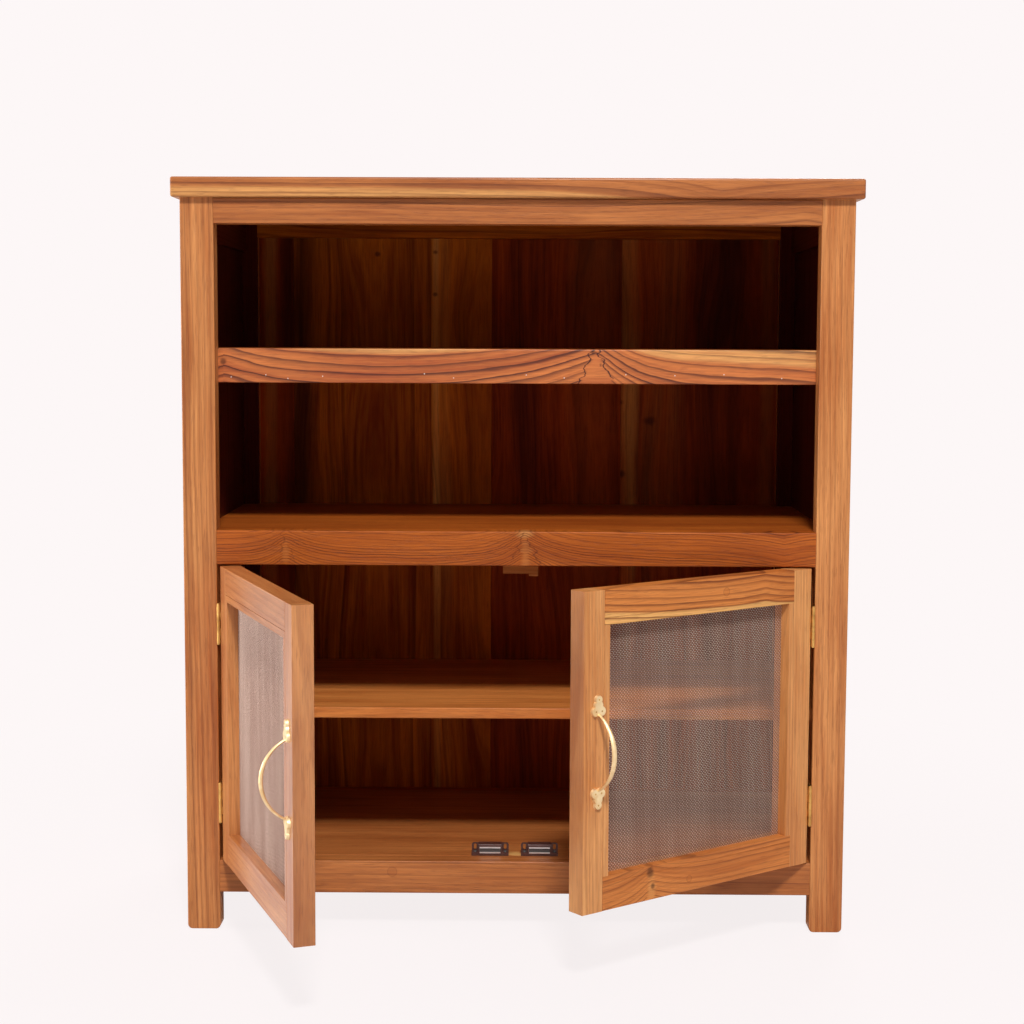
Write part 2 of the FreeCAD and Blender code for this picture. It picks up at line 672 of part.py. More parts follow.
def door_mesh(name, side):
    """The mesh grid against the lips, and the beads that hold it in the rebate."""
    x = along_door(side, shrunk((CORE_NEAR, CORE_FAR), "joint_clearance"))
    z = shrunk((REBATE_BOTTOM, REBATE_TOP), "joint_clearance")
    label = name + "_door_mesh"
    bars = []
    for number in range(MESH_CELLS + 1):
        bars.append(mesh_bar("%s_upright_%d" % (label, number), bar_limits(x, number), z))
        bars.append(mesh_bar("%s_level_%d" % (label, number), x, bar_limits(z, number)))
    parts[label] = joined("MultiFuse", label, bars)
    hang(parts[label], side)
    sheet_rear = MESH_FACE + " + mesh_thick"
    beads = []
    limits = (
        ((CORE_NEAR, CORE_FAR), (REBATE_BOTTOM, LIP_BOTTOM)),
        ((CORE_NEAR, CORE_FAR), (LIP_TOP, REBATE_TOP)),
        ((CORE_NEAR, LIP_NEAR), (LIP_BOTTOM, LIP_TOP)),
        ((LIP_FAR, CORE_FAR), (LIP_BOTTOM, LIP_TOP)),
    )
    for number, (across, levels) in enumerate(limits):
        strip = solid("Box", "%s_bead_%d" % (name, number), Length=span(across),
                      Width=span((sheet_rear, DOOR_REAR)), Height=span(levels))
        put(strip, along_door(side, across)[0], sheet_rear, levels[0])
        beads.append(strip)
    label = name + "_door_beads"
    parts[label] = joined("Compound", label, beads)
    hang(parts[label], side)


def rosette(label, x, height, way):
    """Three tapered lobes of a cast rosette with its nail holes; the tip points up for way 1."""
    turn = (X_AXIS, QUARTER_TURN)
    lobes = (
        ("side_lobe_radius", "-side_lobe_offset", "0", True),
        ("side_lobe_radius", "side_lobe_offset", "0", True),
        ("tip_lobe_radius", "0", "tip_lobe_offset", True),
        ("neck_lobe_radius", "0", "tip_lobe_offset / 2", False),
    )
    cones = []
    holes = []
    for number, (radius, across, up, nailed) in enumerate(lobes):
        cone = solid("Cone", "%s_lobe_%d" % (label, number), turn, Radius1=radius,
                     Radius2=radius + " - rosette_draft", Height="rosette_thick")
        place = ("%s + %s" % (x, across), DOOR_FACE, "%s + %d * (%s)" % (height, way, up))
        put(cone, *place)
        cones.append(cone)
        if nailed:
            hole = solid("Cylinder", "%s_hole_%d" % (label, number), turn, Radius="nail_radius",
                         Height="rosette_thick")
            put(hole, *place)
            holes.append(hole)
    return cones, holes


def handle(name, side):
    """Cast handle: a swelling bow lofted along an arc between two rosettes."""
    label = name + "_door_handle"
    x = along_door(side, ("(%s - handle_edge_distance)" % DOOR_FAR,) * 2)[0]
    height = "%s_handle_height" % name
    radius = "(((bow_length / 2) ^ 2 + bow_rise ^ 2) / (2 * bow_rise))"
    half_turn = "acos(1 - bow_rise / %s)" % radius
    sections = []
    for number, (place, swell) in enumerate(zip(BOW_PLACE_SHARES, BOW_SWELL_SHARES)):
        section = solid("Ellipse", "%s_section_%d" % (label, number), (X_AXIS, QUARTER_TURN),
                        MajorRadius="bow_wide_radius * %g" % swell,
                        MinorRadius="bow_thick_radius * %g" % swell)
        turn = "(%g * %s)" % (place, half_turn)
        section.setExpression("Placement.Rotation.Angle", formula("-" + turn))
        put(section, x, "%s - rosette_thick / 2 - bow_rise + %s * (1 - cos(%s))" % (DOOR_FACE, radius, turn),
            "%s + %s * sin(%s)" % (height, radius, turn))
        sections.append(section)
    bow = doc.addObject("Part::Loft", label + "_bow")
    bow.Sections = sections
    bow.Solid = True
    pieces = [bow]
    tools = []
    for way in (-1, 1):
        centre = "%s + %d * (bow_length / 2 + side_lobe_radius / 2)" % (height, way)
        cones, holes = rosette("%s_rosette_%d" % (label, way + 1), x, centre, way)
        pieces += cones
        tools += holes
    parts[label] = less(label, joined("MultiFuse", label + "_casting", pieces), tools)
    hang(parts[label], side)


def strike(name, side):
    """Steel plate on the back of a door that its catch holds."""
    centre = "(%s - catch_spacing / 2)" % HINGE_X
    x = along_door(side, ("%s - strike_length / 2" % centre, "%s + strike_length / 2" % centre))
    z = (DOOR_BOTTOM, DOOR_BOTTOM + " + strike_height")
    plate = board(name + "_door_strike_plate", x, (DOOR_REAR, DOOR_REAR + " + strike_thick"), z)
    hang(plate, side)


CATCH_FRONT = "(%s + door_thick + strike_thick + strike_gap)" % FRONT
HOUSING_FRONT = "(%s + pole_reach)" % CATCH_FRONT
EAR_FRONT = "(%s + catch_body_depth - catch_ear_thick)" % HOUSING_FRONT
EAR_REAR = "(%s + catch_body_depth)" % HOUSING_FRONT
POLE_MIDDLE = "(%s + catch_body_height / 2)" % BOTTOM_LEVEL
POLE_LEVELS = (
    ("%s - pole_gap / 2 - pole_thick" % POLE_MIDDLE, "%s - pole_gap / 2" % POLE_MIDDLE),
    ("%s + pole_gap / 2" % POLE_MIDDLE, "%s + pole_gap / 2 + pole_thick" % POLE_MIDDLE),
)


def catch_housing(name, side):
    """Moulded catch body with two slotted ears and two screwed feet."""
    centre = "%d * catch_spacing / 2" % side
    y = (HOUSING_FRONT, EAR_REAR)
    body = board(name + "_catch_housing", around(centre, "catch_body_length"), y,
                 (BOTTOM_LEVEL, BOTTOM_LEVEL + " + catch_body_height"), X_AXIS, "catch_round")
    whole = around(centre, "catch_length")
    ear_y = (EAR_FRONT, EAR_REAR)
    block(body, whole, ear_y, (BOTTOM_LEVEL, BOTTOM_LEVEL + " + catch_ear_height"))
    ease(body, Y_AXIS, "ear_round", lambda edge: is_ear_corner(edge, body.Tip.Shape.BoundBox))
    block(body, whole, y, (BOTTOM_LEVEL, BOTTOM_LEVEL + " + catch_foot_height"))
    slot_centre = "(%s + (catch_ear_height + catch_foot_height) / 2)" % BOTTOM_LEVEL
    slot_levels = around(slot_centre, "slot_height")
    for way in (-1, 1):
        recess(body, around(ear_centre(centre, way), "slot_width"), shrunk(ear_y, "-cut_overrun"), slot_levels)
    ease(body, Y_AXIS, "slot_round", lambda edge: is_slot_corner(edge, body.Tip.Shape.BoundBox))
    for way in (-1, 1):
        ear = ear_centre(centre, way)
        hole = body.newObject("PartDesign::SubtractiveCylinder", name + "_screw_hole")
        bind(hole, Radius="catch_screw_radius", Height="catch_foot_height + cut_overrun")
        put(hole, ear, catch_screw_y(), BOTTOM_LEVEL)
    x = around(centre, "pole_length")
    pole_rear = CATCH_FRONT + " + pole_depth"
    for levels in POLE_LEVELS:
        recess(body, x, (HOUSING_FRONT + " - cut_overrun", pole_rear), levels)
    recess(body, x, (HOUSING_FRONT, pole_rear), (POLE_LEVELS[0][1], POLE_LEVELS[1][0]))


def is_ear_corner(edge, box):
    """Tell whether an edge is an upper outer corner of a catch's ears, given the catch's box."""
    middle = edge.CenterOfMass
    from_end = min(middle.x - box.XMin, box.XMax - middle.x)
    return from_end < sheet.get("catch_round") and middle.z > box.Center.z


def is_slot_corner(edge, box):
    """Tell whether an edge is a corner of the slot in one of a catch's ears, given the catch's box."""
    ear = (sheet.get("catch_length") + sheet.get("catch_body_length")) / 4
    return abs(abs(edge.CenterOfMass.x - box.Center.x) - ear) < sheet.get("slot_width")


def ear_centre(centre, way):
    """Middle of one of a catch's ears along X."""
    return "(%s + %d * (catch_length + catch_body_length) / 4)" % (centre, way)


def catch_screw_y():
    """Depth of the catch screws, in the middle of the feet."""
    return "(%s + %s) / 2" % (HOUSING_FRONT, EAR_FRONT)


def catches():
    """Housings, and the pole plates, magnets and screws of both catches."""
    poles = []
    magnets = []
    screws = []
    for name, side in SIDES:
        catch_housing(name, side)
        centre = "%d * catch_spacing / 2" % side
        x = around(centre, "pole_length")[0]
        for number, levels in enumerate(POLE_LEVELS):
            plate = solid("Box", "%s_pole_%d" % (name, number), Length="pole_length", Width="pole_depth",
                          Height="pole_thick")
            put(plate, x, CATCH_FRONT, levels[0])
            poles.append(plate)
        magnet = solid("Box", name + "_magnet", Length="pole_length", Width="pole_depth - pole_reach",
                       Height="pole_gap")
        put(magnet, x, HOUSING_FRONT, POLE_LEVELS[0][1])
        magnets.append(magnet)
        for way in (-1, 1):
            ear = ear_centre(centre, way)
            label = "%s_catch_screw_%d" % (name, way + 1)
            shank = solid("Cylinder", label + "_shank", Radius="catch_screw_radius",
                          Height="catch_screw_length + catch_foot_height")
            put(shank, ear, catch_screw_y(), BOTTOM_LEVEL + " - catch_screw_length")
            head = solid("Cone", label + "_head", Radius1="catch_screw_head_radius",
                         Radius2="catch_screw_head_radius - catch_screw_head_height / 2",
                         Height="catch_screw_head_height")
            put(head, ear, catch_screw_y(), BOTTOM_LEVEL + " + catch_foot_height")
            screws.append(joined("MultiFuse", label, [shank, head]))
            hole = parts["bottom_board"].newObject("PartDesign::SubtractiveCylinder", label + "_pilot")
            bind(hole, Radius="catch_screw_radius", Height="catch_screw_length + cut_overrun")
            put(hole, ear, catch_screw_y(), BOTTOM_LEVEL + " - catch_screw_length")
    parts["catch_pole_plates"] = joined("Compound", "catch_pole_plates", poles)
    parts["catch_magnets"] = joined("Compound", "catch_magnets", magnets)
    parts["catch_screws"] = joined("Compound", "catch_screws", screws)


def write_parts():
    """Check every object and shape, then write one STEP file for each sub-part."""
    doc.recompute()
    for item in doc.Objects:
        if "Invalid" in item.State or "Error" in item.State:
            raise RuntimeError("%s did not compute: %s" % (item.Label, item.State))
    for label, item in parts.items():
        if item.Shape.isNull() or not item.Shape.isValid():
            raise RuntimeError("%s has no valid shape" % label)
    os.makedirs("parts", exist_ok=True)
    for label, item in parts.items():
        item.Shape.exportStep("parts/%s.step" % label)
        print("%-28s %d solid(s) %12.1f mm3" % (label, len(item.Shape.Solids), item.Shape.Volume))
    print(len(parts), "parts")


top_board()
legs()
rails()
sides()
back_planks()
shelves()
door_stop()
hinges()
for side_name, side_sign in SIDES:
    door_frame(side_name, side_sign)
    door_mesh(side_name, side_sign)
    handle(side_name, side_sign)
    strike(side_name, side_sign)
catches()
write_parts()
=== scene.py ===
# %% [markdown]
# # A teak cupboard with wire-mesh doors
# The cupboard is a frame of teak legs and rails with two open bays above and a pair of mesh doors below.
# Its boards, hinges, handles and catches come from the CAD frame, so this lesson gives them their finishes
# and adds what is too fine for the solids: the wires of the mesh, and the heads of the nails and pins.

# %% Load the frame
import math
import bpy
from mathutils import Euler, Matrix, Vector
from types import SimpleNamespace


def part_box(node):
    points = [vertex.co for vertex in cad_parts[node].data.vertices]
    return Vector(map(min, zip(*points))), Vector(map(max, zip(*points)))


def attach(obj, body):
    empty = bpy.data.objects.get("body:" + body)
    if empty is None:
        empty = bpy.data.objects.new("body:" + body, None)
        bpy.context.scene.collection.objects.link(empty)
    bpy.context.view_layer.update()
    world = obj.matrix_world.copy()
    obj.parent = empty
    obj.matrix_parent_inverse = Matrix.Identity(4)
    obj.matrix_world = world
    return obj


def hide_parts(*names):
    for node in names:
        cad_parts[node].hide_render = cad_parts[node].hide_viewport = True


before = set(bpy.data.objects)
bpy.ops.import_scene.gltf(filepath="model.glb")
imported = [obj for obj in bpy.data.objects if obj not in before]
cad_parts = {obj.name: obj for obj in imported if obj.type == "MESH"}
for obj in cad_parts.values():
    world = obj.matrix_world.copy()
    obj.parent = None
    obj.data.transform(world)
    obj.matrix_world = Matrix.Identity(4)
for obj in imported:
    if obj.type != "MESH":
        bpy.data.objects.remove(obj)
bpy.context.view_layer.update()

# %% [markdown]
# ## The camera
# The view is a tall tripod view a little to the right of the middle, looking slightly down. A camera could be
# aimed by a constraint, but three small angles written as one rotation say exactly where it looks.

# %% Camera
CAMERA_PLACE = Vector((0.0119, -2.555, 0.7568))
CAMERA_PITCH, CAMERA_YAW, CAMERA_ROLL = (math.radians(angle) for angle in (5.26, -0.416, 0.234))
LENS_MM, SENSOR_MM = 65.89, 36


def aim_camera():
    """Place the camera and return it."""
    ahead = Vector((math.sin(CAMERA_YAW), math.cos(CAMERA_YAW), 0))
    level = Vector((ahead.y, -ahead.x, 0))
    ahead = ahead * math.cos(CAMERA_PITCH) - Vector((0, 0, math.sin(CAMERA_PITCH)))
    upright = level.cross(ahead)
    right = level * math.cos(CAMERA_ROLL) + upright * math.sin(CAMERA_ROLL)
    up = upright * math.cos(CAMERA_ROLL) - level * math.sin(CAMERA_ROLL)
    lens = bpy.data.cameras.new("camera")
    lens.lens = LENS_MM
    lens.sensor_width = SENSOR_MM
    camera = bpy.data.objects.new("camera", lens)
    camera.matrix_world = Matrix((right, up, -ahead)).transposed().to_4x4()
    camera.location = CAMERA_PLACE
    bpy.context.collection.objects.link(camera)
    bpy.context.scene.camera = camera
    return camera


print("Camera at", tuple(round(v, 3) for v in aim_camera().location))

# %% [markdown]
# ## Writing node trees as sums
# A finish is a tree of nodes. It could be wired node by node, but that hides the idea behind it. So a small class
# wraps one output of a node, and sums on it add Math nodes: 1 - mask reads as what it does. Colours are
# written as they look on a screen and turned into the linear light that shaders count in.

# %% Colours and sums


def srgb(red, green, blue):
    """Linear colour of an 8-bit screen colour."""
    values = [channel / 255 for channel in (red, green, blue)]
    return tuple(v / 12.92 if v <= 0.04045 else ((v + 0.055) / 1.055) ** 2.4 for v in values) + (1,)


class Field:
    """A value in a node tree. Sums on it add Math nodes."""

    def __init__(self, tree, socket):
        self.tree = tree
        self.socket = socket

    def math(self, operation, *terms):
        return self.tree.node("ShaderNodeMath", {"operation": operation}, dict(enumerate(terms)))

    def __add__(self, other):
        return self.math("ADD", self, other)

    def __sub__(self, other):
        return self.math("SUBTRACT", self, other)

    def __rsub__(self, other):
        return self.math("SUBTRACT", other, self)

    def __mul__(self, other):
        return self.math("MULTIPLY", self, other)

    def __truediv__(self, other):
        return self.math("DIVIDE", self, other)

    def __rtruediv__(self, other):
        return self.math("DIVIDE", other, self)

    def __pow__(self, other):
        return self.math("POWER", self, other)

    def __abs__(self):
        return self.math("ABSOLUTE", self)

    __radd__ = __add__
    __rmul__ = __mul__

    def step(self, low, high):
        """Rise smoothly from 0 at low to 1 at high."""
        settings = {"interpolation_type": "SMOOTHSTEP"}
        return self.tree.node("ShaderNodeMapRange", settings, {"Value": self, "From Min": low, "From Max": high})


print("Honey teak in linear light:", tuple(round(v, 3) for v in srgb(200, 132, 82)))

# %% [markdown]
# ## One method for every other node
# Colours and vectors need nodes of their own, such as Mix, noise and Mapping. Each could have a wrapper, but one
# method that takes a type, its settings and its sockets covers them all, in materials and in Geometry Nodes alike.
# Blending and stretched noise come up so often that they get short names.

# %% Node trees


class Tree:
    """A node tree of a material or a geometry modifier."""

    def __init__(self, tree):
        self.tree = tree
        self.tree.nodes.clear()

    def node(self, kind, settings=None, sockets=None, out=0):
        """Add a node, set it up, fill its sockets with values or links, and return one output."""
        node = self.tree.nodes.new(kind)
        for name, value in (settings or {}).items():
            setattr(node, name, value)
        for name, value in (sockets or {}).items():
            for term in value if isinstance(value, list) else [value]:
                if isinstance(term, Field):
                    self.tree.links.new(term.socket, node.inputs[name])
                else:
                    node.inputs[name].default_value = term
        return Field(self, node.outputs[out]) if len(node.outputs) else node

    def blend(self, first, second, amount, mode="MIX"):
        """Mix two colours."""
        settings = {"data_type": "RGBA", "blend_type": mode, "clamp_factor": True}
        return self.node("ShaderNodeMix", settings, {0: amount, 6: first, 7: second}, 2)

    def stretched(self, vector, scale):
        """Scale a vector along each axis."""
        return self.node("ShaderNodeVectorMath", {"operation": "MULTIPLY"}, {0: vector, 1: scale})

    def noise(self, vector, scale, seed, detail=2.0, rough=0.5):
        """Noise from 0 to 1 in stretched space."""
        sockets = {"Vector": self.stretched(vector, scale), "W": seed, "Scale": 1.0, "Detail": detail,
                   "Roughness": rough}
        return self.node("ShaderNodeTexNoise", {"noise_dimensions": "4D"}, sockets)


print("Helpers of a node tree:", ", ".join(name for name in vars(Tree) if not name.startswith("_")))

# %% [markdown]
# ## A finish
# Every finish here ends the same way: one Principled shader, with a bump where the surface has relief. Each could
# be written out in full, but a class that opens the tree and closes it leaves only what differs. Patterns read
# Object coordinates, which stay with a piece when it moves, and a Mapping node centres and turns them.

# %% Finishes
SOCKETS = {"base_color": "Base Color", "roughness": "Roughness", "metallic": "Metallic",
           "specular": "Specular IOR Level", "coat_weight": "Coat Weight", "coat_roughness": "Coat Roughness"}


class Finish(Tree):
    """A material around one Principled shader."""

    def __init__(self, name):
        self.material = bpy.data.materials.new(name)
        self.material.use_nodes = True
        super().__init__(self.material.node_tree)

    def place(self, centre=(0, 0, 0), turn=(0, 0, 0)):
        """Object coordinates about a centre, in turned axes."""
        spot = self.node("ShaderNodeTexCoord", out="Object")
        sockets = {"Vector": spot, "Location": centre, "Rotation": turn}
        return self.node("ShaderNodeMapping", {"vector_type": "TEXTURE"}, sockets)

    def axes(self, spot):
        """The three coordinates of a place."""
        return [self.node("ShaderNodeSeparateXYZ", None, {0: spot}, out) for out in range(3)]

    def shade(self, height=None, depth=0.0, **sockets):
        """End the tree in a Principled shader, with a bump from a height where one is given."""
        inputs = {SOCKETS[name]: value for name, value in sockets.items()}
        if height is not None:
            bump = {"Height": height, "Strength": 1.0, "Distance": depth}
            inputs["Normal"] = self.node("ShaderNodeBump", None, bump)
        shader = self.node("ShaderNodeBsdfPrincipled", None, inputs)
        self.node("ShaderNodeOutputMaterial", None, {"Surface": shader})
        return self.material


def dress(names, material):
    """Give CAD nodes one material."""
    for name in names:
        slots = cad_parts[name].data.materials
        slots.clear()
        slots.append(material)


print("Shader sockets in use:", ", ".join(SOCKETS.values()))

# %% [markdown]
# ## Tones of teak
# Teak runs from pale straw to dark brown, and this cupboard is darker inside than outside, partly from its tones and
# partly from painted shade on the inner sides. One set of colours for all the boards would make them look cut from one
# plank. So a tone is three colours, of the pale ground, the browner figure and the dark late wood, and every board
# picks a tone.

# %% Tones
TONES = {
    "honey": (srgb(212, 144, 84), srgb(164, 88, 36), srgb(98, 40, 14)),
    "sand": (srgb(226, 162, 98), srgb(188, 112, 52), srgb(124, 58, 22)),
    "ginger": (srgb(222, 140, 70), srgb(176, 96, 38), srgb(96, 38, 12)),
    "amber": (srgb(192, 119, 62), srgb(146, 78, 34), srgb(84, 34, 12)),
    "rust": (srgb(185, 97, 30), srgb(138, 60, 12), srgb(72, 22, 4)),
    "bold": (srgb(206, 122, 64), srgb(152, 70, 36), srgb(54, 14, 16)),
    # cocoa and umber, the darkest tones, dress the back and the boards deep inside; their darkness is partly the
    # wood's own and partly painted shade of the bays.
    "cocoa": (srgb(214, 114, 16), srgb(124, 44, 0), srgb(52, 12, 0)),
    "umber": (srgb(176, 68, 2), srgb(98, 26, 0), srgb(40, 5, 0)),
}
BARE_TONE = "amber"
SAPWOOD = srgb(238, 186, 112)
PALE_STREAK = srgb(240, 168, 84)
KNOT_HEART = srgb(40, 10, 3)
# The colour that darkens the inner faces of the bays: painted shade.
PAINTED_INNER_SHADE = srgb(108, 50, 24)
print("Tones:", ", ".join(TONES))

# %% [markdown]
# ## A board's own axes
# Grain runs along a board, so a pattern has to know which way that is. It could follow a UV map, but a pattern in
# solid space comes out right on the faces, the edges and the end grain at once. The turn found here goes into a
# Mapping node, so that X runs along the grain, Y across the width and Z through the thickness.

# %% Board axes
AXES = {"X": Vector((1, 0, 0)), "Y": Vector((0, 1, 0)), "Z": Vector((0, 0, 1))}


def board_turn(along, across, angle=0.0):
    """Euler turn of a board's own axes: first along the grain, then across the width."""
    spin = Matrix.Rotation(angle, 3, "Z")
    first = spin @ AXES[along]
    second = spin @ AXES[across]
    return tuple(Matrix((first, second, first.cross(second))).transposed().to_euler())


print("Turn of an upright board:", tuple(round(v, 3) for v in board_turn("Z", "X")))

# %% [markdown]
# ## Knots
# A knot is where a branch grew. The rings lift round it, a plain gap is left in the lines, and cracks may run along
# the gap. A knot could be drawn on top of the grain as a dark spot, but then the grain would run straight through it.
# So the knots come first, as a lift that bends the rings, and their hearts, cracks and pale burls are masks.

# %% Knots
KNOT_ROUND = 0.005
GAP_EDGES = (-0.003, 0.001)
HEART_TALL, HEART_EDGES = 1.3, (0.2, 1.0)
CRACK_RAG, CRACK_EDGES, CRACK_END = 0.03, (0.0004, 0.0014), 0.002
BURL_EDGES = (0.3, 1.2)


def swelling(run, width, swells):
    """Lift of the grain near knots, and the share of its lines that stays.

    A swell has a place, a half gap, how much the gap flares downwards, a height, and a reach to either side."""
    lift, kept = 0.0, 1.0
    for place, gap, flare, height, reach_left, reach_right in swells:
        after = run.math("GREATER_THAN", run, place)
        reach = reach_left + (reach_right - reach_left) * after
        away = ((run - place) ** 2.0 + KNOT_ROUND ** 2) ** 0.5 - gap + flare * width
        kept = kept * away.step(*GAP_EDGES)
        fall = away.math("MAXIMUM", away, 0.0) / reach * -1.0
        lift = lift + height * fall.math("EXPONENT", fall)
    return lift, kept


def knot_hearts(run, width, knots, rag):
    """Mask of the dark hearts of knots, each with a place, a place across and a size."""
    mask = 0.0
    for place, across, size in knots:
        far = (((run - place) / size) ** 2.0 + ((width - across) / (HEART_TALL * size)) ** 2.0) ** 0.5
        mask = mask + (1.0 - (far + rag).step(*HEART_EDGES))
    return mask


def knot_cracks(run, width, cracks, rag):
    """Mask of thin ragged cracks, each with a place, a slope, its two ends across the board, and a share."""
    mask = 0.0
    for place, slope, low, high, share in cracks:
        near = 1.0 - abs(run - place - slope * width + CRACK_RAG * rag).step(*CRACK_EDGES)
        begun = width.step(low, low + CRACK_END)
        ended = width.step(high - CRACK_END, high)
        mask = mask + share * near * begun * (1.0 - ended)
    return mask


def pale_burls(run, width, burls, rag):
    """Mask of pale burls, each with a place, a place across, two half sizes and a share."""
    mask = 0.0
    for place, across, length, height, share in burls:
        far = (((run - place) / length) ** 2.0 + ((width - across) / height) ** 2.0) ** 0.5
        mask = mask + share * (1.0 - (far + rag).step(*BURL_EDGES))
    return mask


print("Roundness of a knot in mm:", KNOT_ROUND * 1000)

# %% [markdown]
# ## Growth rings
# Each board is cut from a log, so its figure is a slice through growth rings: cylinders round a pith that lies
# somewhere beside the board. A Wave texture can draw rings, but they all come out alike. So the distance from the
# pith is worked out by sums, bent by slow and quick noise and by the knots, and cut into rings of uneven width that
# each end in a dark line of late wood. Noise stretched along the grain adds clouds and streaks.

# %% Growth rings
SLOW_BENDS, QUICK_BENDS = (2.2, 11, 11), (14, 90, 90)
CLOUDS, STREAKS, RING_GAPS = (3, 26, 1), (7, 240, 1), (0.6, 70, 1)
MIDDLE = (0.3, 0.7)
LATE_RISE, LATE_FALL, LATE_SHARP = (0.25, 0.93), (0.95, 1.0), 2.5


def growth_rings(finish, spot, seed, ring=0.0055, pith=(0.12, 0.05), tilt=0.012, wobble=0.012, jitter=0.0009,
                 uneven=2.0, even_lines=0.2, swells=()):
    """The fields of one board's figure, in the board's own axes.

    ring is the width of a ring, pith the place of the log's middle across and through the board, tilt how far the
    grain runs off line, wobble and jitter how much slow and quick noise bend it, uneven how much the rings differ
    in width, even_lines how dark the faintest line is, and swells the knots that the grain goes round."""
    run, width, depth = finish.axes(spot)
    slow = finish.noise(spot, SLOW_BENDS, seed, 1.5) - 0.5
    quick = finish.noise(spot, QUICK_BENDS, seed + 3, 2.5) - 0.5
    lift, kept = swelling(run, width, swells)
    bent = width + tilt * run + wobble * slow - lift + jitter * 2.0 * quick
    deep = depth - pith[1] + wobble * 0.5 * slow
    radius = ((bent - pith[0]) ** 2.0 + deep * deep) ** 0.5
    grain = finish.node("ShaderNodeCombineXYZ", None, {"X": run, "Y": radius})
    cloud = finish.noise(grain, CLOUDS, seed + 13, 2.0).step(*MIDDLE)
    streak = finish.noise(grain, STREAKS, seed + 17, 3.0, 0.6).step(*MIDDLE)
    phase = radius / ring + uneven * (finish.noise(grain, RING_GAPS, seed + 5, 2.0) - 0.5)
    order = phase.math("FLOOR", phase)
    part = phase - order
    late = part.step(*LATE_RISE) ** LATE_SHARP * (1.0 - part.step(*LATE_FALL))
    strength = finish.node("ShaderNodeTexWhiteNoise", {"noise_dimensions": "1D"}, {"W": order + seed})
    late = late * (even_lines + (1.0 - even_lines) * strength) * kept
    return SimpleNamespace(run=run, width=width, depth=depth, slow=slow, quick=quick, radius=radius,
                           cloud=cloud, streak=streak, late=late)


print("Rings end in a line from", LATE_RISE[0], "to", LATE_FALL[1], "of their width")

# %% [markdown]
# ## Streaks and plugs
# Some boards have a pale or dark streak along the grain, and a few have a round plug of wood over a fixing. Streaks
# could be left to chance by a noise, but here each has a place of its own, so each is a soft band across the width.
# A plug is a disc of darker wood with a thin dark rim, because its grain never quite meets the board's.

# %% Streaks and plugs
STREAK_EDGES, STREAK_FADE = (0.35, 1.3), (-0.15, 0.05)
PLUG_SHARE, PLUG_RIM, PLUG_RIM_SHARE = 0.3, 0.001, 0.35


def streaked(finish, wood, colour, dark, strips, fading):
    """Add streaks, each with a place across, a half width and a share: above 0 pale, below 0 dark."""
    for place, half, share in strips:
        mask = 1.0 - abs((wood.width - place) / half + 2.0 * wood.slow + 0.8 * wood.quick).step(*STREAK_EDGES)
        if fading:
            mask = mask * (0.3 + 0.7 * wood.run.step(*STREAK_FADE))
        tint = PALE_STREAK if share > 0 else dark
        colour = finish.blend(colour, tint, mask * (0.6 + 0.8 * wood.cloud) * abs(share))
    return colour


def plugged(finish, wood, colour, body, dark, plugs):
    """Add plugs, each with a place, a place across and a radius."""
    for place, across, size in plugs:
        close = ((wood.run - place) ** 2.0 + (wood.width - across) ** 2.0) ** 0.5
        colour = finish.blend(colour, body, (1.0 - close.step(size * 0.8, size)) * PLUG_SHARE)
        colour = finish.blend(colour, dark, (1.0 - abs(close - size).step(0.0, PLUG_RIM)) * PLUG_RIM_SHARE)
    return colour


print("Rim of a plug in mm:", PLUG_RIM * 1000)

# %% [markdown]
# ## Teak
# The finish of a board lays its colours one over another: ground and figure, pale sapwood, streaks, late wood, pores
# and knots, as they lie in the wood, and last a painted shade that darkens the inner side. One big node group could
# serve all boards, but a function builds only the nodes that a board needs. Fine fibres and open pores give the bump
# and the roughness, and a thin coat stands for the rubbed varnish. Each board has its own seed and pith, so no two
# match.

# %% Teak
FIBRES, PORES, PORE_EDGES = (16, 640, 640), (50, 1100, 1100), (0.56, 0.68)
FACE_EDGE = 0.0005
PORE_SHARE, HEART_SHARE = 0.25, 0.65
HEART_RAG, BURL_RAG = 1.6, 3.0
GRAIN_DEPTH, VARNISH_ROUGHNESS = 0.00012, 0.24


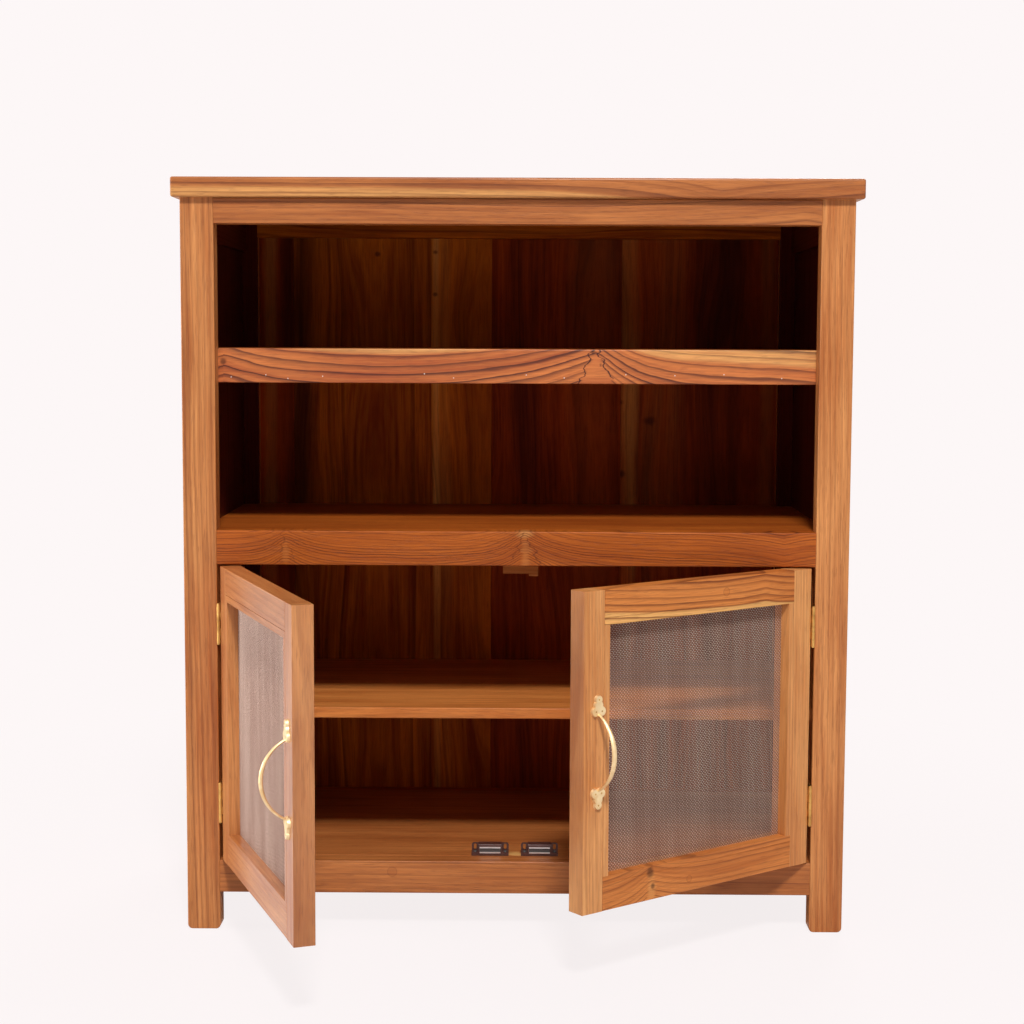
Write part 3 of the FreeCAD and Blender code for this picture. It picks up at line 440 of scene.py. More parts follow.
def teak(name, along, across, tone, seed, angle=0.0, lines=0.3, sap=None, strips=(), fading=False, burls=(),
         knots=(), cracks=(), plugs=(), bare_rear=False, painted_shade=None, coat=0.25, **growth):
    """Dress one board in teak. Places are from its middle, along the grain and across the width.

    lines is how dark the late wood is, and sap a radius, a soft edge, a way (1 outwards, -1 inwards) and a share.
    A fading board loses its streaks downwards, one with a bare rear is plain behind its middle, and a depth and a way
    given for painted shade darken the board beyond that depth, on its inner side. The rest is what growth_rings takes."""
    finish = Finish("teak_" + name)
    low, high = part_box(name)
    spot = finish.place(tuple((Vector(low) + Vector(high)) / 2), board_turn(along, across, angle))
    wood = growth_rings(finish, spot, seed, **growth)
    run, width, depth = wood.run, wood.width, wood.depth
    fibre = finish.noise(spot, FIBRES, seed + 7, 3.0)
    pores = finish.noise(spot, PORES, seed + 11, 1.0).step(*PORE_EDGES)
    pale, body, dark = TONES[tone]
    figure = 0.55 * wood.cloud + 0.45 * wood.streak
    colour = finish.blend(pale, body, figure)
    if bare_rear:
        bare = finish.blend(*TONES[BARE_TONE][:2], figure)
        colour = finish.blend(colour, bare, depth.step(0.0, FACE_EDGE))
    if sap:
        level, soft, way, share = sap
        mask = ((wood.radius - level) * way).step(0.0, soft)
        colour = finish.blend(colour, SAPWOOD, mask * (1.0 - 0.4 * wood.streak) * share)
    colour = streaked(finish, wood, colour, dark, strips, fading)
    if burls:
        colour = finish.blend(colour, SAPWOOD, pale_burls(run, width, burls, wood.quick * BURL_RAG))
    colour = finish.blend(colour, dark, wood.late * lines)
    colour = finish.blend(colour, dark, pores * PORE_SHARE)
    if knots:
        hearts = knot_hearts(run, width, knots, wood.quick * HEART_RAG)
        colour = finish.blend(colour, KNOT_HEART, hearts * HEART_SHARE)
    if cracks:
        colour = finish.blend(colour, dark, knot_cracks(run, width, cracks, wood.quick))
    colour = plugged(finish, wood, colour, body, dark, plugs)
    # Painted shade: the board is darkened beyond the given depth, on its inner side.
    if painted_shade:
        face, way = painted_shade
        colour = finish.blend(colour, PAINTED_INNER_SHADE, (depth * way - face).step(0.0, FACE_EDGE), "MULTIPLY")
    tint = finish.node("ShaderNodeCombineColor", None, {n: 0.7 + 0.58 * fibre for n in range(3)})
    colour = finish.blend(colour, tint, 1.0, "MULTIPLY")
    rough = 0.4 + 0.16 * fibre + 0.08 * wood.late
    dress([name], finish.shade(height=fibre - 1.2 * pores - 0.5 * wood.late, depth=GRAIN_DEPTH,
                               base_color=colour, roughness=rough, specular=0.2 if coat else 0.05,
                               coat_weight=coat, coat_roughness=VARNISH_ROUGHNESS))


print("Fibres per metre across the grain:", FIBRES[1])

# %% [markdown]
# ## Legs and top
# The legs are straight-grained, as a maker would pick them, and the edge of the top shows a pale band of sapwood.
# They could share one finish, but then the same lines would stand side by side. Each gets a seed and a pith of its
# own. The back legs are darkened on their inner side, where the open bays show them, as painted shade.

# %% Legs and top


def finish_legs():
    """Teak of the legs and the top."""
    teak("front_left_leg", "Z", "X", "honey", 2.3, lines=0.5, ring=0.0065, pith=(0.16, 0.03),
         strips=((-0.014, 0.006, -0.25), (0.002, 0.009, -0.14), (0.016, 0.004, -0.22)))
    teak("front_right_leg", "Z", "X", "honey", 7.4, lines=0.3, ring=0.0065, pith=(-0.16, 0.03),
         strips=((0.014, 0.005, -0.12),))
    for number, side in enumerate(("left", "right")):
        teak("back_%s_leg" % side, "Z", "X", "honey", 12.5 + 5.1 * number, lines=0.3, ring=0.0045,
             pith=(0.16, 0.03), painted_shade=(0.01, -1), coat=0.0)
    teak("top_board", "X", "Y", "amber", 31.0, ring=0.0085, lines=0.6, pith=(-0.19, -0.05), wobble=0.04,
         tilt=0.0, even_lines=0.4, swells=((0.25, 0, 0, 0.04, 0.15, 0.3),), sap=(0.0565, 0.005, -1, 0.42))


finish_legs()
print("Legs and top dressed:", len(bpy.data.materials))

# %% [markdown]
# ## Rails and side panels
# The front rails have more figure than the legs. The mid rail carries two knots, whose grain sweeps up to a pale gap
# with soft cracks beside it. Such figure could be painted by hand, but a few numbers for each knot keep it in solid
# wood, so it also turns the rail's edges. The rails and panels of the ends are darkened on the side that faces in, as
# painted shade.

# %% Rails and side panels


def finish_rails():
    """Teak of the rails and the side panels."""
    # The top rail's darker amber tone is partly its own colour and partly painted shade under the overhang of the top.
    teak("front_top_rail", "X", "Z", "amber", 37.0, lines=0.6, pith=(0.09, 0.1),
         swells=((0.36, 0, 0, 0.02, 0.12, 0.1),))
    teak("front_mid_rail", "X", "Z", "rust", 41.0, ring=0.0036, lines=0.95, pith=(-0.2, -0.01), jitter=0.003,
         even_lines=0.15, coat=0.05,
         swells=((0.011, 0.006, 0.1, 0.03, 0.03, 0.035), (-0.291, 0.005, 0.1, 0.02, 0.02, 0.03),
                 (0.34, 0, 0, -0.012, 0.05, 0.03)),
         cracks=((0.003, 0.28, -0.014, 0.022, 0.4), (0.02, -0.35, -0.02, 0.014, 0.5),
                 (-0.296, 0.25, -0.008, 0.018, 0.35), (-0.286, -0.3, -0.018, 0.004, 0.3)),
         burls=((0.011, 0.018, 0.012, 0.006, 0.25), (0.012, -0.004, 0.007, 0.025, 0.1),
                (-0.291, -0.006, 0.005, 0.018, 0.06)))
    teak("front_bottom_rail", "X", "Z", "amber", 43.0, lines=0.35, plugs=((-0.157, 0.007, 0.006),))
    for number, name in enumerate(("back_bottom_rail", "back_top_rail")):
        teak(name, "X", "Z", "cocoa", 47.0 + number, lines=0.5, ring=0.012, wobble=0.04, coat=0.0)
    for number, side in enumerate(("left", "right")):
        for place in ("bottom", "top"):
            teak("%s_side_%s_rail" % (side, place), "Y", "Z", "honey", 53.0 + 3 * number + len(place),
                 painted_shade=(0.0, 1 if side == "left" else -1), coat=0.1)
        teak(side + "_side_panel", "Z", "Y", "amber", 67.0 + number, ring=0.009, pith=(0.06, 0.06), wobble=0.04,
             painted_shade=(0.0, 1 if side == "right" else -1), coat=0.1)


finish_rails()
print("Boards dressed with the rails:", len(bpy.data.materials))

# %% [markdown]
# ## Shelves
# The lipping of the open shelf is the showpiece: wide dark rings sweep round a knot with a crack at either side, and
# a band of sapwood runs along its top. The rings could be drawn as curves, but as growth rings they also turn its
# edges. The shelves behind it are plainer and redder, and the cleats under them are dark.

# %% Shelves
SHELF_TONES = {"open_shelf": "rust", "mid_shelf": "rust", "lower_shelf": "ginger", "bottom_board": "amber"}
BOARD_BURL = (0.002, -0.168, 0.012, 0.01, 0.7)


def finish_shelves():
    """Teak of the lipping, the shelves, their cleats and the door stop."""
    teak("open_shelf_lipping", "X", "Z", "bold", 71.0, ring=0.0115, lines=1.0, pith=(-0.2923, 0.0), tilt=0.0,
         wobble=0.02, jitter=0.003, uneven=1.4, even_lines=0.4, sap=(0.2985, 0.006, 1, 0.55),
         swells=((-0.372, 0, 0, 0.03, 0.05, 0.07), (0.101, 0.0125, 0.45, 0.05, 0.1, 0.035),
                 (0.39, 0, 0, -0.012, 0.16, 0.1)),
         knots=((0.096, 0.0185, 0.005), (0.106, 0.002, 0.003), (-0.372, 0.004, 0.005)),
         cracks=((0.089, 0.42, -0.024, 0.024, 0.9), (0.114, -0.5, -0.016, 0.024, 0.9)))
    for number, (name, tone) in enumerate(SHELF_TONES.items()):
        teak(name, "X", "Y", tone, 79.0 + 3 * number, ring=0.008, pith=(0.1, -0.05), wobble=0.03, coat=0.1,
             burls=(BOARD_BURL,) if name == "bottom_board" else ())
        teak(name + "_cleats", "Y", "Z", "umber", 97.0 + number, coat=0.0)
    teak("door_stop", "X", "Z", "amber", 131.0, coat=0.0)


finish_shelves()
print("Boards dressed with the shelves:", len(bpy.data.materials))

# %% [markdown]
# ## The back
# Five wide planks close the back. Their front is dark, partly its tone and partly painted shade of the bays, some have
# a pale streak or small knots, and their rear is taken to be bare. They could be one panel with drawn joints, but the
# frame has five planks, so each gets its own tone, strength of lines, streaks and knots. The streaks fade downwards,
# into the cupboard.

# %% Back planks
PLANKS = (
    ("umber", 0.35, ((-0.008, 0.01, 0.22), (0.02, 0.014, -0.5)), ()),
    ("cocoa", 0.5, ((-0.092, 0.02, -0.6),), ((0.39, 0.02, 0.004),)),
    ("cocoa", 0.35, ((-0.0395, 0.006, 0.75), (-0.026, 0.01, 0.2), (0.0455, 0.0025, 0.9)),
     ((0.393, -0.041, 0.004), (0.332, -0.041, 0.004))),
    ("umber", 0.35, ((0.05, 0.04, 0.05), (-0.05, 0.03, -0.3)), ()),
    ("umber", 0.35, ((-0.108, 0.014, 0.34), (-0.06, 0.04, 0.08), (0.02, 0.04, -0.5), (0.095, 0.012, 0.07)),
     ((0.176, -0.119, 0.006), (0.149, -0.076, 0.009), (0.071, -0.117, 0.008))),
)
for number, (tone, lines, strips, knots) in enumerate(PLANKS):
    teak("back_plank_%d" % (number + 1), "Z", "X", tone, 103.0 + 4.7 * number, ring=0.018, lines=lines,
         pith=(0.02 * number, 0.04), wobble=0.07, strips=strips, fading=True, bare_rear=True, knots=knots,
         coat=0.0)
print("Boards dressed with the back:", len(bpy.data.materials))

# %% [markdown]
# ## The doors
# The doors stand open in the frame's own rest state, so the grain has to be laid in each door's turned axes. It could
# be laid on closed doors and carried round, but a CAD piece is never moved. A Mapping node does it instead: it turns
# the pattern with the door about the upright axis. The left door is glossier, and the right one has more figure.

# %% Door frames
DOOR_ANGLES = {"left": math.radians(-69), "right": math.radians(38)}
DOOR_TONES = {"left": "honey", "right": "sand"}
DOOR_GLOSS = {"left": 0.9, "right": 0.35}
# Dark streaks along the lock edges of the stiles, as painted shade: a place across, a half width and a share.
LOCK_EDGE_SHADE = {"left": (0.0181, 0.0012, -0.2), "right": (-0.0184, 0.0012, -0.4)}


def finish_figured_rails(seed, angle):
    """Teak of the right door's rails, one with sapwood and one with a knot."""
    teak("right_door_top_rail", "X", "Z", "ginger", seed + 5, angle, ring=0.0075, lines=0.9, pith=(-0.25, 0.0),
         tilt=0.035, wobble=0.035, jitter=0.0012, uneven=1.4, even_lines=0.4,
         swells=((0.105, 0.004, 0, 0.006, 0.05, 0.03),), plugs=((0.038, 0.003, 0.005),),
         sap=(0.24, 0.003, -1, 0.8), coat=0.1)
    teak("right_door_bottom_rail", "X", "Z", "ginger", seed + 9, angle, ring=0.006, lines=0.7,
         pith=(-0.25, 0.0), tilt=0.0, wobble=0.025, jitter=0.0014, uneven=1.2,
         swells=((-0.08, 0.004, 0.3, 0.022, 0.03, 0.05),),
         knots=((-0.081, 0.014, 0.007), (-0.077, -0.004, 0.004)),
         burls=((-0.079, -0.006, 0.007, 0.016, 0.2),), plugs=((-0.018, -0.0055, 0.004),), coat=0.1)


def finish_door(side, seed):
    """Teak of one door's stiles, rails and beads."""
    angle, tone, gloss = DOOR_ANGLES[side], DOOR_TONES[side], DOOR_GLOSS[side]
    name = side + "_door_"
    teak(name + "hinge_stile", "Z", "X", tone, seed, angle, lines=0.25, ring=0.0045, pith=(0.14, 0.04),
         coat=gloss)
    teak(name + "lock_stile", "Z", "X", tone, seed + 3, angle, lines=0.25, ring=0.005, pith=(0.15, 0.03),
         strips=(LOCK_EDGE_SHADE[side],), coat=gloss)
    if side == "right":
        finish_figured_rails(seed, angle)
    else:
        for number, place in enumerate(("top", "bottom")):
            teak(name + place + "_rail", "X", "Z", "honey", seed + 5 + 4 * number, angle, ring=0.007, lines=0.22,
                 pith=(0.05, -0.03), wobble=0.03, coat=gloss)
    teak(name + "beads", "X", "Z", "honey", seed + 13, angle, lines=0.2)


finish_door("left", 151.0)
finish_door("right", 173.0)
print("Boards dressed with the doors:", len(bpy.data.materials))

# %% [markdown]
# ## Brass and steel
# The handles are cast brass, rough from the mould, with darker patches. The hinges are pressed brass sheet with a few
# brown stains, and the plates of the catches are zinc-plated steel. One plain metal with other colours could do,
# but each was shaped in its own way: sand leaves grains, so its noise is even, and a rolling mill leaves lines, so
# the noise of the sheet metals is stretched.

# %% Brass and steel


def cast_brass():
    """Brass with the grain of the mould and darker patches."""
    finish = Finish("cast_brass")
    spot = finish.place()
    sand = finish.noise(spot, (420, 420, 420), 1.0, 3.0)
    patch = finish.noise(spot, (70, 70, 70), 2.0, 2.0).step(0.35, 0.7)
    colour = finish.blend(srgb(250, 227, 180), srgb(224, 182, 120), patch * 0.7)
    return finish.shade(height=sand + patch, depth=0.00025, base_color=colour, roughness=0.3 + 0.22 * sand,
                        metallic=0.9)


def pressed_brass():
    """Brass sheet with fine lines from the mill and brown stains."""
    finish = Finish("pressed_brass")
    spot = finish.place()
    streak = finish.noise(spot, (900, 900, 90), 5.0, 2.0)
    stain = finish.noise(spot, (60, 60, 60), 6.0, 2.0).step(0.4, 0.75)
    colour = finish.blend(srgb(218, 172, 98), srgb(160, 110, 54), stain * 0.7)
    return finish.shade(height=streak, depth=0.00006, base_color=colour, roughness=0.3 + 0.2 * streak,
                        metallic=0.95)


def zinc_steel():
    """Pale steel with fine lines from the mill."""
    finish = Finish("zinc_steel")
    spot = finish.place()
    streak = finish.noise(spot, (80, 1200, 1200), 7.0, 2.0)
    colour = finish.blend(srgb(236, 232, 230), srgb(196, 192, 190), streak)
    return finish.shade(height=streak, depth=0.00005, base_color=colour, roughness=0.28 + 0.25 * streak,
                        metallic=0.95)


BRASS_SHEET, STEEL = pressed_brass(), zinc_steel()
dress(["left_door_handle", "right_door_handle"], cast_brass())
dress([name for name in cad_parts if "hinge" in name and "stile" not in name], BRASS_SHEET)
dress(["catch_pole_plates", "left_door_strike_plate", "right_door_strike_plate"], STEEL)
print("Finishes with the metals:", len(bpy.data.materials))

# %% [markdown]
# ## Plastic and ferrite
# The catches are dark moulded plastic round a ferrite magnet. Both could be plain dark colours, but moulded plastic
# has a fine grain and gathers pale dust, and ferrite is pressed from powder, so each gets a noise at its own scale.

# %% Plastic and ferrite


def moulded_plastic():
    """Brown plastic with a fine grain and some dust."""
    finish = Finish("moulded_plastic")
    spot = finish.place()
    grain = finish.noise(spot, (1400, 1400, 1400), 9.0, 2.0)
    dust = finish.noise(spot, (160, 160, 160), 10.0, 3.0).step(0.5, 0.8)
    colour = finish.blend(srgb(72, 40, 34), srgb(118, 84, 74), dust * 0.6)
    return finish.shade(height=grain, depth=0.00008, base_color=colour, roughness=0.42 + 0.2 * dust)


def ferrite():
    """Dark pressed powder."""
    finish = Finish("ferrite")
    spot = finish.place()
    grain = finish.noise(spot, (1100, 1100, 1100), 12.0, 3.0)
    colour = finish.blend(srgb(44, 42, 42), srgb(76, 72, 70), grain)
    return finish.shade(height=grain, depth=0.0001, base_color=colour, roughness=0.55 + 0.2 * grain)


dress(["left_catch_housing", "right_catch_housing"], moulded_plastic())
dress(["catch_magnets", "catch_screws"], ferrite())
print("Finishes in all:", len(bpy.data.materials))

# %% [markdown]
# ## The finish of the wire
# The doors are filled with fine woven wire. The bends of a real weave would cost millions of faces, so the wires made
# below are straight and this finish paints the light of their bends: a painted highlight where a wire passes over,
# painted shade where it dips under.
# Two sine waves across the door, multiplied, give that pattern, and it turns round on the wires that lie behind.

# %% Wire finish
HINGES = {"left": Vector((-0.376, -0.207, 0)), "right": Vector((0.376, -0.207, 0))}
WIRE_NEAR, WIRE_FAR = 0.0332, 0.3433
WIRE_BOTTOM, WIRE_TOP = 0.1252, 0.4373
WIRE_FACE, WIRE_DEPTH = 0.016, 0.0008
WIRE_PITCH, WIRE_THICK, WIRE_SLACK = 0.0022, 0.00056, 0.00004


def wire_finish(side):
    """Grey wire, with a painted highlight where it passes over another and painted shade where it dips under."""
    finish = Finish(side + "_woven_wire")
    spot = finish.place(tuple(HINGES[side]), (0, 0, DOOR_ANGLES[side]))
    across, depth, up = finish.axes(spot)
    start = WIRE_NEAR if side == "left" else -WIRE_FAR
    waves = [value * (math.pi / WIRE_PITCH) for value in (across - start, up - WIRE_BOTTOM)]
    over = waves[0].math("SINE", waves[0]) * waves[1].math("SINE", waves[1])
    level = depth.math("GREATER_THAN", depth, WIRE_FACE + WIRE_DEPTH / 2)
    # Painted highlight where a wire passes over, painted shade where it dips under.
    painted_weave_light = 0.5 + 0.5 * over * (1.0 - 2.0 * level)
    # Paler and darker upright streaks on the wire.
    upright_streaks = finish.noise(spot, (45, 45, 5), 21.0, 3.0)
    colour = finish.blend(srgb(250, 218, 198), srgb(214, 176, 156), upright_streaks.step(0.2, 0.8))
    colour = finish.blend(srgb(88, 54, 42), colour, painted_weave_light.step(0.15, 0.7))
    return finish.shade(base_color=colour, roughness=0.4 + 0.2 * upright_streaks, metallic=0.4, coat_weight=0.8,
                        coat_roughness=0.3)


WIRE_FINISHES = {side: wire_finish(side) for side in HINGES}
print("Wires across a door:", int((WIRE_FAR - WIRE_NEAR) / WIRE_PITCH))

# %% [markdown]
# ## Growing pieces with Geometry Nodes
# Wires and nail heads repeat, so a Geometry Nodes tree makes each kind from named sizes. The modifier could stay live,
# but then a later step might change it, so the result is kept as a plain mesh and the modifier goes. An input is set
# by its identifier, because a modifier doesn't know its inputs by name.

# %% Geometry Nodes


def geometry_tree(name, inputs):
    """A Geometry Nodes tree with named inputs: returns the tree, its input fields and their identifiers."""
    group = bpy.data.node_groups.new(name, "GeometryNodeTree")
    group.interface.new_socket("Geometry", in_out="OUTPUT", socket_type="NodeSocketGeometry")
    group.interface.new_socket("Geometry", in_out="INPUT", socket_type="NodeSocketGeometry")
    keys = {}
    for label, kind in inputs.items():
        socket = group.interface.new_socket(label, in_out="INPUT", socket_type="NodeSocket" + kind)
        keys[label] = socket.identifier
    tree = Tree(group)
    source = tree.tree.nodes.new("NodeGroupInput")
    fields = {label: Field(tree, source.outputs[label]) for label in ["Geometry", *inputs]}
    return tree, fields, keys


def grown_piece(name, mesh, group, keys, values):
    """Run a Geometry Nodes tree on a mesh and return the result as a plain object."""
    seedling = bpy.data.objects.new(name + "_points", mesh)
    bpy.context.collection.objects.link(seedling)
    grow = seedling.modifiers.new("grow", "NODES")
    grow.node_group = group
    for label, value in values.items():
        grow[keys[label]] = value
    ready = seedling.evaluated_get(bpy.context.evaluated_depsgraph_get())
    piece = bpy.data.objects.new(name, bpy.data.meshes.new_from_object(ready))
    seedling.modifiers.remove(grow)
    bpy.data.objects.remove(seedling)
    bpy.context.collection.objects.link(piece)
    return piece


print("Node groups so far:", len(bpy.data.node_groups))

# %% [markdown]
# ## The tree of the woven wire
# A see-through texture would be lighter than real wires, but it slides and glitters when the view moves. So the tree
# lays one straight square wire on each point of a line, once for the upright wires and once for the level ones behind
# them. A little random slack, with a fixed seed, keeps the rows from looking ruled.

# %% Wire tree
UPRIGHT_SEED, LEVEL_SEED = 3, 5
WIRE_SIDES = 4


def wire_tree():
    """Upright and level wires over a rectangle, then turned and moved with the door."""
    names = ("Left", "Right", "Bottom", "Top", "Face", "Depth", "Pitch", "Thick", "Slack", "Turn")
    inputs = {**dict.fromkeys(names, "Float"), "Hinge": "Vector", "Wire": "Material"}
    tree, given, keys = geometry_tree("woven_wire", inputs)
    pitch, slack, half = given["Pitch"], given["Slack"], given["Thick"] / 2.0
    profile = tree.node("GeometryNodeCurvePrimitiveCircle", {"mode": "RADIUS"},
                        {"Resolution": WIRE_SIDES, "Radius": half})

    def vector(x=0.0, y=0.0, z=0.0):
        return tree.node("ShaderNodeCombineXYZ", None, {"X": x, "Y": y, "Z": z})

    def wires(start, offset, reach, count, drift_reach, seed):
        line = tree.node("GeometryNodeMeshLine", {"mode": "OFFSET"},
                         {"Count": count, "Start Location": start, "Offset": offset})
        drift = tree.node("FunctionNodeRandomValue", {"data_type": "FLOAT_VECTOR"},
                          {0: tree.stretched(drift_reach, (-1, -1, -1)), 1: drift_reach, "Seed": seed})
        points = tree.node("GeometryNodeSetPosition", None, {"Geometry": line, "Offset": drift})
        run = tree.node("GeometryNodeCurvePrimitiveLine", None, {"Start": (0, 0, 0), "End": reach})
        wire = tree.node("GeometryNodeCurveToMesh", None,
                         {"Curve": run, "Profile Curve": profile, "Fill Caps": True})
        return tree.node("GeometryNodeInstanceOnPoints", None, {"Points": points, "Instance": wire})

    width = given["Right"] - given["Left"]
    height = given["Top"] - given["Bottom"]
    upright = wires(vector(given["Left"] + pitch / 2.0, given["Face"] + half, given["Bottom"]),
                    vector(pitch), vector(0.0, 0.0, height), width / pitch, vector(slack), UPRIGHT_SEED)
    behind = given["Face"] + given["Depth"] - half
    level = wires(vector(given["Left"], behind, given["Bottom"] + pitch / 2.0), vector(0.0, 0.0, pitch),
                  vector(width), height / pitch, vector(0.0, 0.0, slack), LEVEL_SEED)
    both = tree.node("GeometryNodeJoinGeometry", None, {"Geometry": [upright, level]})
    real = tree.node("GeometryNodeRealizeInstances", None, {"Geometry": both})
    hung = tree.node("GeometryNodeTransform", None, {"Geometry": real, "Translation": given["Hinge"],
                                                     "Rotation": vector(0.0, 0.0, given["Turn"])})
    done = tree.node("GeometryNodeSetMaterial", None, {"Geometry": hung, "Material": given["Wire"]})
    tree.node("NodeGroupOutput", None, {"Geometry": done})
    return tree.tree, keys


wire_group, wire_keys = wire_tree()
print("Inputs of the wire tree:", ", ".join(wire_keys))

# %% [markdown]
# ## Hanging the wire
# The mesh sits in a rebate of each door, behind the beads, and it swings with the door. The frame holds a coarse grid
# there for contact, so the wires replace that node for the eye and ride on the same body. The wires could be made
# once and mirrored, but a mirrored mesh turns inside out, so the tree simply runs again with the other door's sizes.

# %% Hang the wire


def hang_wire(side, group, keys):
    """The woven wire of one door."""
    limits = (WIRE_NEAR, WIRE_FAR) if side == "left" else (-WIRE_FAR, -WIRE_NEAR)
    values = {"Left": limits[0], "Right": limits[1], "Bottom": WIRE_BOTTOM, "Top": WIRE_TOP, "Face": WIRE_FACE,
              "Depth": WIRE_DEPTH, "Pitch": WIRE_PITCH, "Thick": WIRE_THICK, "Slack": WIRE_SLACK,
              "Turn": DOOR_ANGLES[side], "Hinge": HINGES[side], "Wire": WIRE_FINISHES[side]}
    piece = grown_piece(side + "_door_wires", bpy.data.meshes.new(side + "_wire_points"), group, keys, values)
    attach(piece, side + "_door")
    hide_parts(side + "_door_mesh")
    return piece


for door in ("left", "right"):
    made = hang_wire(door, wire_group, wire_keys)
    print(made.name, "faces:", len(made.data.polygons))

# %% [markdown]
# ## The tree of a nail head
# Nails hold the handles and pins hold the lipping, and only their heads show. A head could be a flat dot of colour,
# but a low dome catches the light as a real one does. One squashed ball, placed on every point of a mesh and turned
# to face outwards, serves for both, with its radius and height as inputs.

# %% Nail tree
HEAD_SEGMENTS, HEAD_RINGS = 14, 8


def nail_tree(material):
    """A domed head on every point, turned to face outwards."""
    inputs = {"Radius": "Float", "Height": "Float", "Turn": "Float"}
    tree, given, keys = geometry_tree("nail_heads", inputs)
    ball = tree.node("GeometryNodeMeshUVSphere", None,
                     {"Segments": HEAD_SEGMENTS, "Rings": HEAD_RINGS, "Radius": 1.0})
    size = tree.node("ShaderNodeCombineXYZ", None,
                     {"X": given["Radius"], "Y": given["Height"], "Z": given["Radius"]})
    turn = tree.node("ShaderNodeCombineXYZ", None, {"Z": given["Turn"]})
    head = tree.node("GeometryNodeTransform", None, {"Geometry": ball, "Scale": size, "Rotation": turn})
    placed = tree.node("GeometryNodeInstanceOnPoints", None, {"Points": given["Geometry"], "Instance": head})
    real = tree.node("GeometryNodeRealizeInstances", None, {"Geometry": placed})
    done = tree.node("GeometryNodeSetMaterial", None, {"Geometry": real, "Material": material})
    tree.node("NodeGroupOutput", None, {"Geometry": done})
    return tree.tree, keys


def nails(name, body, points, tree, radius, height, turn):
    """Nail heads at points, riding on one body."""
    mesh = bpy.data.meshes.new(name + "_points")
    mesh.from_pydata([tuple(point) for point in points], [], [])
    piece = grown_piece(name, mesh, *tree, {"Radius": radius, "Height": height, "Turn": turn})
    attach(piece, body)
    print(piece.name, "heads:", len(points))


brass_nails, steel_pins = nail_tree(BRASS_SHEET), nail_tree(STEEL)
print("Faces round a nail head:", HEAD_SEGMENTS)

# %% [markdown]
# ## Nails and pins
# Each rosette of a handle is nailed at its three lobes, and the lipping is pinned to its shelf by a row of small pins
# at uneven distances, as a hand drives them. The pins could be scattered at random, but a short list of places keeps
# them where they belong. The nails' places are worked out in the door's own axes and then turned with it.

# %% Nails and pins
DOOR_EDGE, HANDLE_INSET = 0.3745, 0.021
HANDLE_HEIGHTS = {"left": 0.275, "right": 0.282}
ROSETTE_FACE = -0.0008
ROSETTE_NAILS = ((-0.0044, 0.0482), (0.0044, 0.0482), (0.0, 0.062))
NAIL_RADIUS, NAIL_HEIGHT = 0.0013, 0.0003
LIPPING_FACE = -0.177
LIPPING_PINS = ((-0.362, 0.708), (-0.318, 0.711), (-0.29, 0.7065), (-0.246, 0.7095), (-0.117, 0.713),
                (-0.08, 0.708), (0.012, 0.712), (0.06, 0.7085), (0.138, 0.713), (0.2, 0.712), (0.262, 0.7135),
                (0.335, 0.709))
PIN_RADIUS, PIN_HEIGHT = 0.0007, 0.0002


def rosette_points(side, middle):
    """Places of a handle's six nails."""
    reach = DOOR_EDGE - HANDLE_INSET
    points = []
    for way in (-1, 1):
        for across, up in ROSETTE_NAILS:
            out = (reach + across) * (1 if side == "left" else -1)
            local = Vector((out, ROSETTE_FACE, middle + way * up))
            points.append(HINGES[side] + Euler((0, 0, DOOR_ANGLES[side])).to_matrix() @ local)
    return points


for side, height in HANDLE_HEIGHTS.items():
    nails(side + "_handle_nails", side + "_door", rosette_points(side, height), brass_nails,
          NAIL_RADIUS, NAIL_HEIGHT, DOOR_ANGLES[side])
nails("lipping_pins", "carcass", [Vector((x, LIPPING_FACE, z)) for x, z in LIPPING_PINS],
      steel_pins, PIN_RADIUS, PIN_HEIGHT, 0.0)

# %% [markdown]
# ## Background and floor
# The cupboard stands on a pale floor before a pale background. Strong lamps could bleach both, but they would bleach
# the wood too. Light Path is the way out: the sky is at full strength only where the camera, a reflection or glass
# sees it, and dim as a light. The floor glows for the camera too, but keeps a faint shadow of the cupboard.

# %% Background and floor
BACKGROUND = srgb(253, 247, 247)
FLOOR_COLOUR = srgb(236, 230, 230)
SKY_LIGHT = 0.2
FLOOR_REACH = 9.0
FLOOR_GLOW, FLOOR_MELT = 0.9, (0.5, 1.4)


def pale_world():
    """An even sky: pale to the camera and in reflections, dimmer as light."""
    world = bpy.data.worlds.new("pale")
    world.use_nodes = True
    tree = Tree(world.node_tree)
    path = {name: tree.node("ShaderNodeLightPath", out=name)
            for name in ("Is Camera Ray", "Is Glossy Ray", "Is Transmission Ray")}
    seen = path["Is Camera Ray"] + path["Is Glossy Ray"] + path["Is Transmission Ray"]
    strength = SKY_LIGHT + (1.0 - SKY_LIGHT) * seen.math("MINIMUM", seen, 1.0)
    sky = tree.node("ShaderNodeBackground", None, {"Color": BACKGROUND, "Strength": strength})
    tree.node("ShaderNodeOutputWorld", None, {"Surface": sky})
    bpy.context.scene.world = world


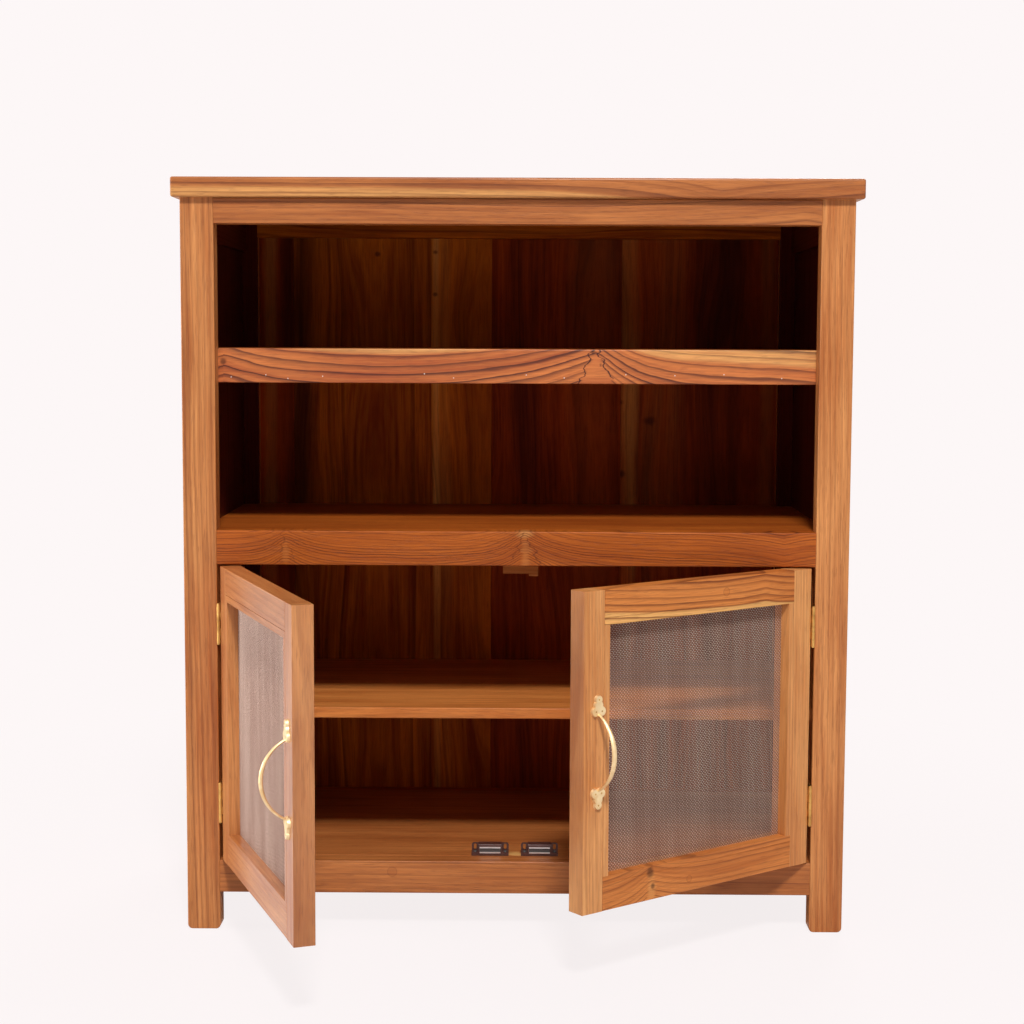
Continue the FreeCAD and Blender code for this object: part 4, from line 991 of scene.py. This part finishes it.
def pale_floor():
    """A floor that keeps a faint shadow near the feet and melts into the background."""
    mesh = bpy.data.meshes.new("floor")
    corners = ((-1, -1), (1, -1), (1, 1), (-1, 1))
    mesh.from_pydata([(x * FLOOR_REACH, y * FLOOR_REACH, 0) for x, y in corners], [], [(0, 1, 2, 3)])
    floor = bpy.data.objects.new("floor", mesh)
    bpy.context.collection.objects.link(floor)
    finish = Finish("pale_floor")
    spot = finish.place()
    away = finish.node("ShaderNodeVectorMath", {"operation": "LENGTH"}, {0: spot}, 1)
    camera = finish.node("ShaderNodeLightPath", out="Is Camera Ray")
    glow = finish.node("ShaderNodeEmission", None, {"Color": BACKGROUND, "Strength": 1.0})
    matt = finish.node("ShaderNodeBsdfDiffuse", None, {"Color": FLOOR_COLOUR})
    share = camera * (FLOOR_GLOW + (1.0 - FLOOR_GLOW) * away.step(*FLOOR_MELT))
    mixed = finish.node("ShaderNodeMixShader", None, {0: share, 1: matt, 2: glow})
    finish.node("ShaderNodeOutputMaterial", None, {"Surface": mixed})
    mesh.materials.append(finish.material)


pale_world()
pale_floor()
bpy.context.scene.view_settings.view_transform = "Standard"
print("Light of the sky:", SKY_LIGHT)

# %% [markdown]
# ## Lamps
# Most of the light is one soft lamp in front, about 45 degrees up, which leaves the bays dark. Lamps on every side
# would light the bays and flatten the grain, so there are only two more: a weak one at the left that reaches the open
# door, and one behind that keeps the back from going black.

# %% Lamps
LAMPS = {
    "key": {"place": (0.3, -3.7, 4.2), "aim": (0, -0.2, 0.5), "size": 0.7, "power": 235},
    "side": {"place": (-3.2, -0.25, 0.7), "aim": (-0.3, -0.4, 0.3), "size": 1.0, "power": 56},
    "rear": {"place": (1.2, 3.6, 3.0), "aim": (0, 0.2, 0.5), "size": 1.6, "power": 90},
}


def lamp(name, place, aim, size, power):
    """A square area lamp aimed at a point."""
    light = bpy.data.lights.new(name, "AREA")
    light.size = size
    light.energy = power
    holder = bpy.data.objects.new(name, light)
    holder.location = place
    holder.rotation_euler = (Vector(aim) - Vector(place)).to_track_quat("-Z", "Y").to_euler()
    bpy.context.collection.objects.link(holder)


for name, values in LAMPS.items():
    lamp(name, **values)
print("Lamps:", len(bpy.data.lights))

# %% [markdown]
